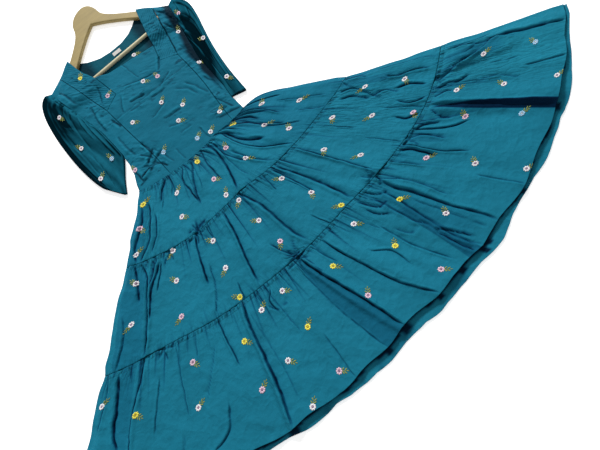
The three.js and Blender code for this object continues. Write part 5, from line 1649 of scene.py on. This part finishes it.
class DRESS_OT_embroidery(bpy.types.Operator):
    """Embroiders the small flowers and their sprigs, each lying on the cloth under it"""

    bl_idname = "dress.embroidery"
    bl_label = "Embroidery"

    def execute(self, context):
        self.parts = {}
        rng = np.random.default_rng(5)
        for tier_index, thousandths, column in SKIRT_FLOWERS:
            share = thousandths / 1000
            for order, (down, thread) in enumerate(column.items()):
                turn = (45.0 if (order + int(share * 20)) % 2 else -45.0) + rng.uniform(-10, 10)
                turn = 180.0 - turn if tier_index == 1 else turn
                self.on_skirt(tier_index, share, down / 100, thread, turn)
        for x, y, thread, turn in BODICE_FLOWERS:
            a, b, h = motif_points(turn)
            z, _ = bodice_surface(x + a, y + b)
            self.store([x + a, y + b, z + ON_BODICE + h], thread)
        for flower in SLEEVE_FLOWERS:
            self.on_sleeve(*flower)
        base, lens = grid_faces(*LENS, ring=True), LENS[0] * LENS[1]
        for thread, chunks in sorted(self.parts.items()):
            points = np.concatenate(chunks)
            faces = (base[None] + lens * np.arange(len(points))[:, None, None]).reshape(-1, 4)
            flowers = closed_mesh(f"{thread}_flowers", to_metres(points.reshape(-1, 3)), faces,
                                  embroidery(thread, getattr(colours(), thread)))
            stands_for(flowers, "label_white")
        return {"FINISHED"}

    def store(self, places, thread):
        """Sorts one flower's parts by the thread they are worked in."""
        points = np.stack(places, axis=-1).reshape(len(MOTIF), -1, 3)
        petals, eye = THREADS[thread]
        for kind, colour_name in (("petal", petals), ("eye", eye), ("leaf", "thread_green")):
            chosen = [k for k, part in enumerate(MOTIF) if part[0] == kind]
            self.parts.setdefault(colour_name, []).append(points[chosen])

    def on_skirt(self, tier_index, share, down, thread, turn):
        """A flower on a tier: its plan is laid across and down the cloth, so that it follows the
        folds. Turn is from straight down the cloth toward +X."""
        tier = TIERS[tier_index]
        a, b, h = motif_points(turn)
        here = np.array([share]), np.array([down])
        _, reach, fan = skirt_frame(*tier["span"], *here)
        long = tier_length(*tier["span"], here[0])
        across, along = share + a / (reach * fan), down + b / long
        x, y, z, _, _ = tier_surface(tier_index, np.clip(across, 0, 1), np.clip(along, 0, 1))
        self.store([x, y, z + ON_SKIRT + h], thread)

    def on_sleeve(self, side, along, turn, thread, way):
        """A flower laid on the flat of a sleeve round one place."""
        step = np.array([[0, 0], [0.05, 0], [0, 0.30]])
        x, y, z, _ = sleeve_surface(side, along + step[:, 0], turn + step[:, 1])
        spot = np.stack([x, y, z], axis=-1)
        first = (spot[1] - spot[0]) / np.linalg.norm(spot[1] - spot[0])
        normal = np.cross(first, spot[2] - spot[0])
        normal = normal / np.linalg.norm(normal) * np.sign(normal[2])
        a, b, h = motif_points(way)
        points = (spot[0] + a[..., None] * first + b[..., None] * np.cross(normal, first)
                  + (h + ON_SLEEVE)[..., None] * normal)
        self.store([points[..., k] for k in range(3)], thread)


CAMERA = {"place": (23.04, -614.84, 872.86), "aim": (70.59, -319.28, 0.0), "roll": -31.61,
          "lens": 26.4}
LIGHTS = [  # name, place and aim in metres from the waist, size, power
    ("softbox_neck", (1.6, 4.9, 3.9), (0.0, -0.2, 0.0), 1.2, 470.0),
    ("softbox_over", (-0.5, 0.1, 3.0), (0.0, -0.2, 0.0), 2.4, 13.0),
]
WORLD_LIGHT = 0.38
FLOOR_HALF, FLOOR_DROP = 4.0, 0.0006  # metres; the floor is a hair under the cloth


def turned_towards(place, aim, roll=0.0):
    """Turn and place of a camera or light that looks from one point at another, with its roll."""
    forward = (aim - place).normalized()
    level = forward.cross(Vector((0, 0, 1))).normalized()
    raised = level.cross(forward)
    right = level * np.cos(roll) + raised * np.sin(roll)
    up = right.cross(forward)
    turn = Matrix((right, up, -forward)).transposed().to_4x4()
    return Matrix.Translation(place) @ turn


class DRESS_OT_stage(bpy.types.Operator):
    """Sets the pale floor, the soft lights and the camera"""

    bl_idname = "dress.stage"
    bl_label = "Stage"

    def execute(self, context):
        scene = context.scene
        corners = FLOOR_HALF * np.array([[-1, 1, 0], [-1, -1, 0], [1, -1, 0], [1, 1, 0]])
        floor = joined_mesh("floor", corners - [0, 0, FLOOR_DROP], np.array([[0, 1, 2, 3]]),
                            floor_finish("pale_floor"))
        for name, place, aim, size, power in LIGHTS:
            light = bpy.data.lights.new(name, "AREA")
            light.shape, light.size, light.energy = "SQUARE", size, power
            lamp = bpy.data.objects.new(name, light)
            lamp.matrix_world = turned_towards(Vector(place) + Vector(WAIST_MIDDLE),
                                               Vector(aim) + Vector(WAIST_MIDDLE))
            scene.collection.objects.link(lamp)
        world = bpy.data.worlds.new("soft_daylight")
        world.use_nodes = True
        sky = world.node_tree.nodes["Background"].inputs
        sky["Color"].default_value, sky["Strength"].default_value = (1, 1, 1, 1), WORLD_LIGHT
        scene.world = world
        scene.view_settings.view_transform = "Standard"
        lens = bpy.data.cameras.new("camera")
        lens.lens, lens.sensor_width, lens.clip_end = CAMERA["lens"], 36.0, 50.0
        camera = bpy.data.objects.new("camera", lens)
        place, aim = (Vector(to_metres(np.array(CAMERA[key]))) for key in ("place", "aim"))
        camera.matrix_world = turned_towards(place, aim, np.radians(CAMERA["roll"]))
        scene.collection.objects.link(camera)
        scene.camera = camera
        return {"FINISHED"}


class DRESS_PT_panel(bpy.types.Panel):
    """Lists the pieces of the dress"""

    bl_label = "Dress"
    bl_idname = "DRESS_PT_panel"
    bl_space_type = "VIEW_3D"
    bl_region_type = "UI"
    bl_category = "Dress"

    def draw(self, context):
        for operator in OPERATORS:
            self.layout.operator(operator.bl_idname)
        for group in (context.scene.dress_sizes, context.scene.dress_colours):
            for name in group.__annotations__:
                self.layout.prop(group, name)


OPERATORS = [DRESS_OT_skirt_back, DRESS_OT_skirt_front, DRESS_OT_bodice, DRESS_OT_sleeves,
             DRESS_OT_hanger, DRESS_OT_label, DRESS_OT_embroidery, DRESS_OT_stage]
CLASSES = [DressSizes, DressColours, *OPERATORS, DRESS_PT_panel]


def register():
    for entry in CLASSES:
        bpy.utils.register_class(entry)
    bpy.types.Scene.dress_sizes = PointerProperty(type=DressSizes)
    bpy.types.Scene.dress_colours = PointerProperty(type=DressColours)


def unregister():
    del bpy.types.Scene.dress_sizes
    del bpy.types.Scene.dress_colours
    for entry in reversed(CLASSES):
        bpy.utils.unregister_class(entry)


def main():
    register()
    for operator in OPERATORS:
        group, name = operator.bl_idname.split(".")
        getattr(getattr(bpy.ops, group), name)()


if __name__ == "__main__":
    main()
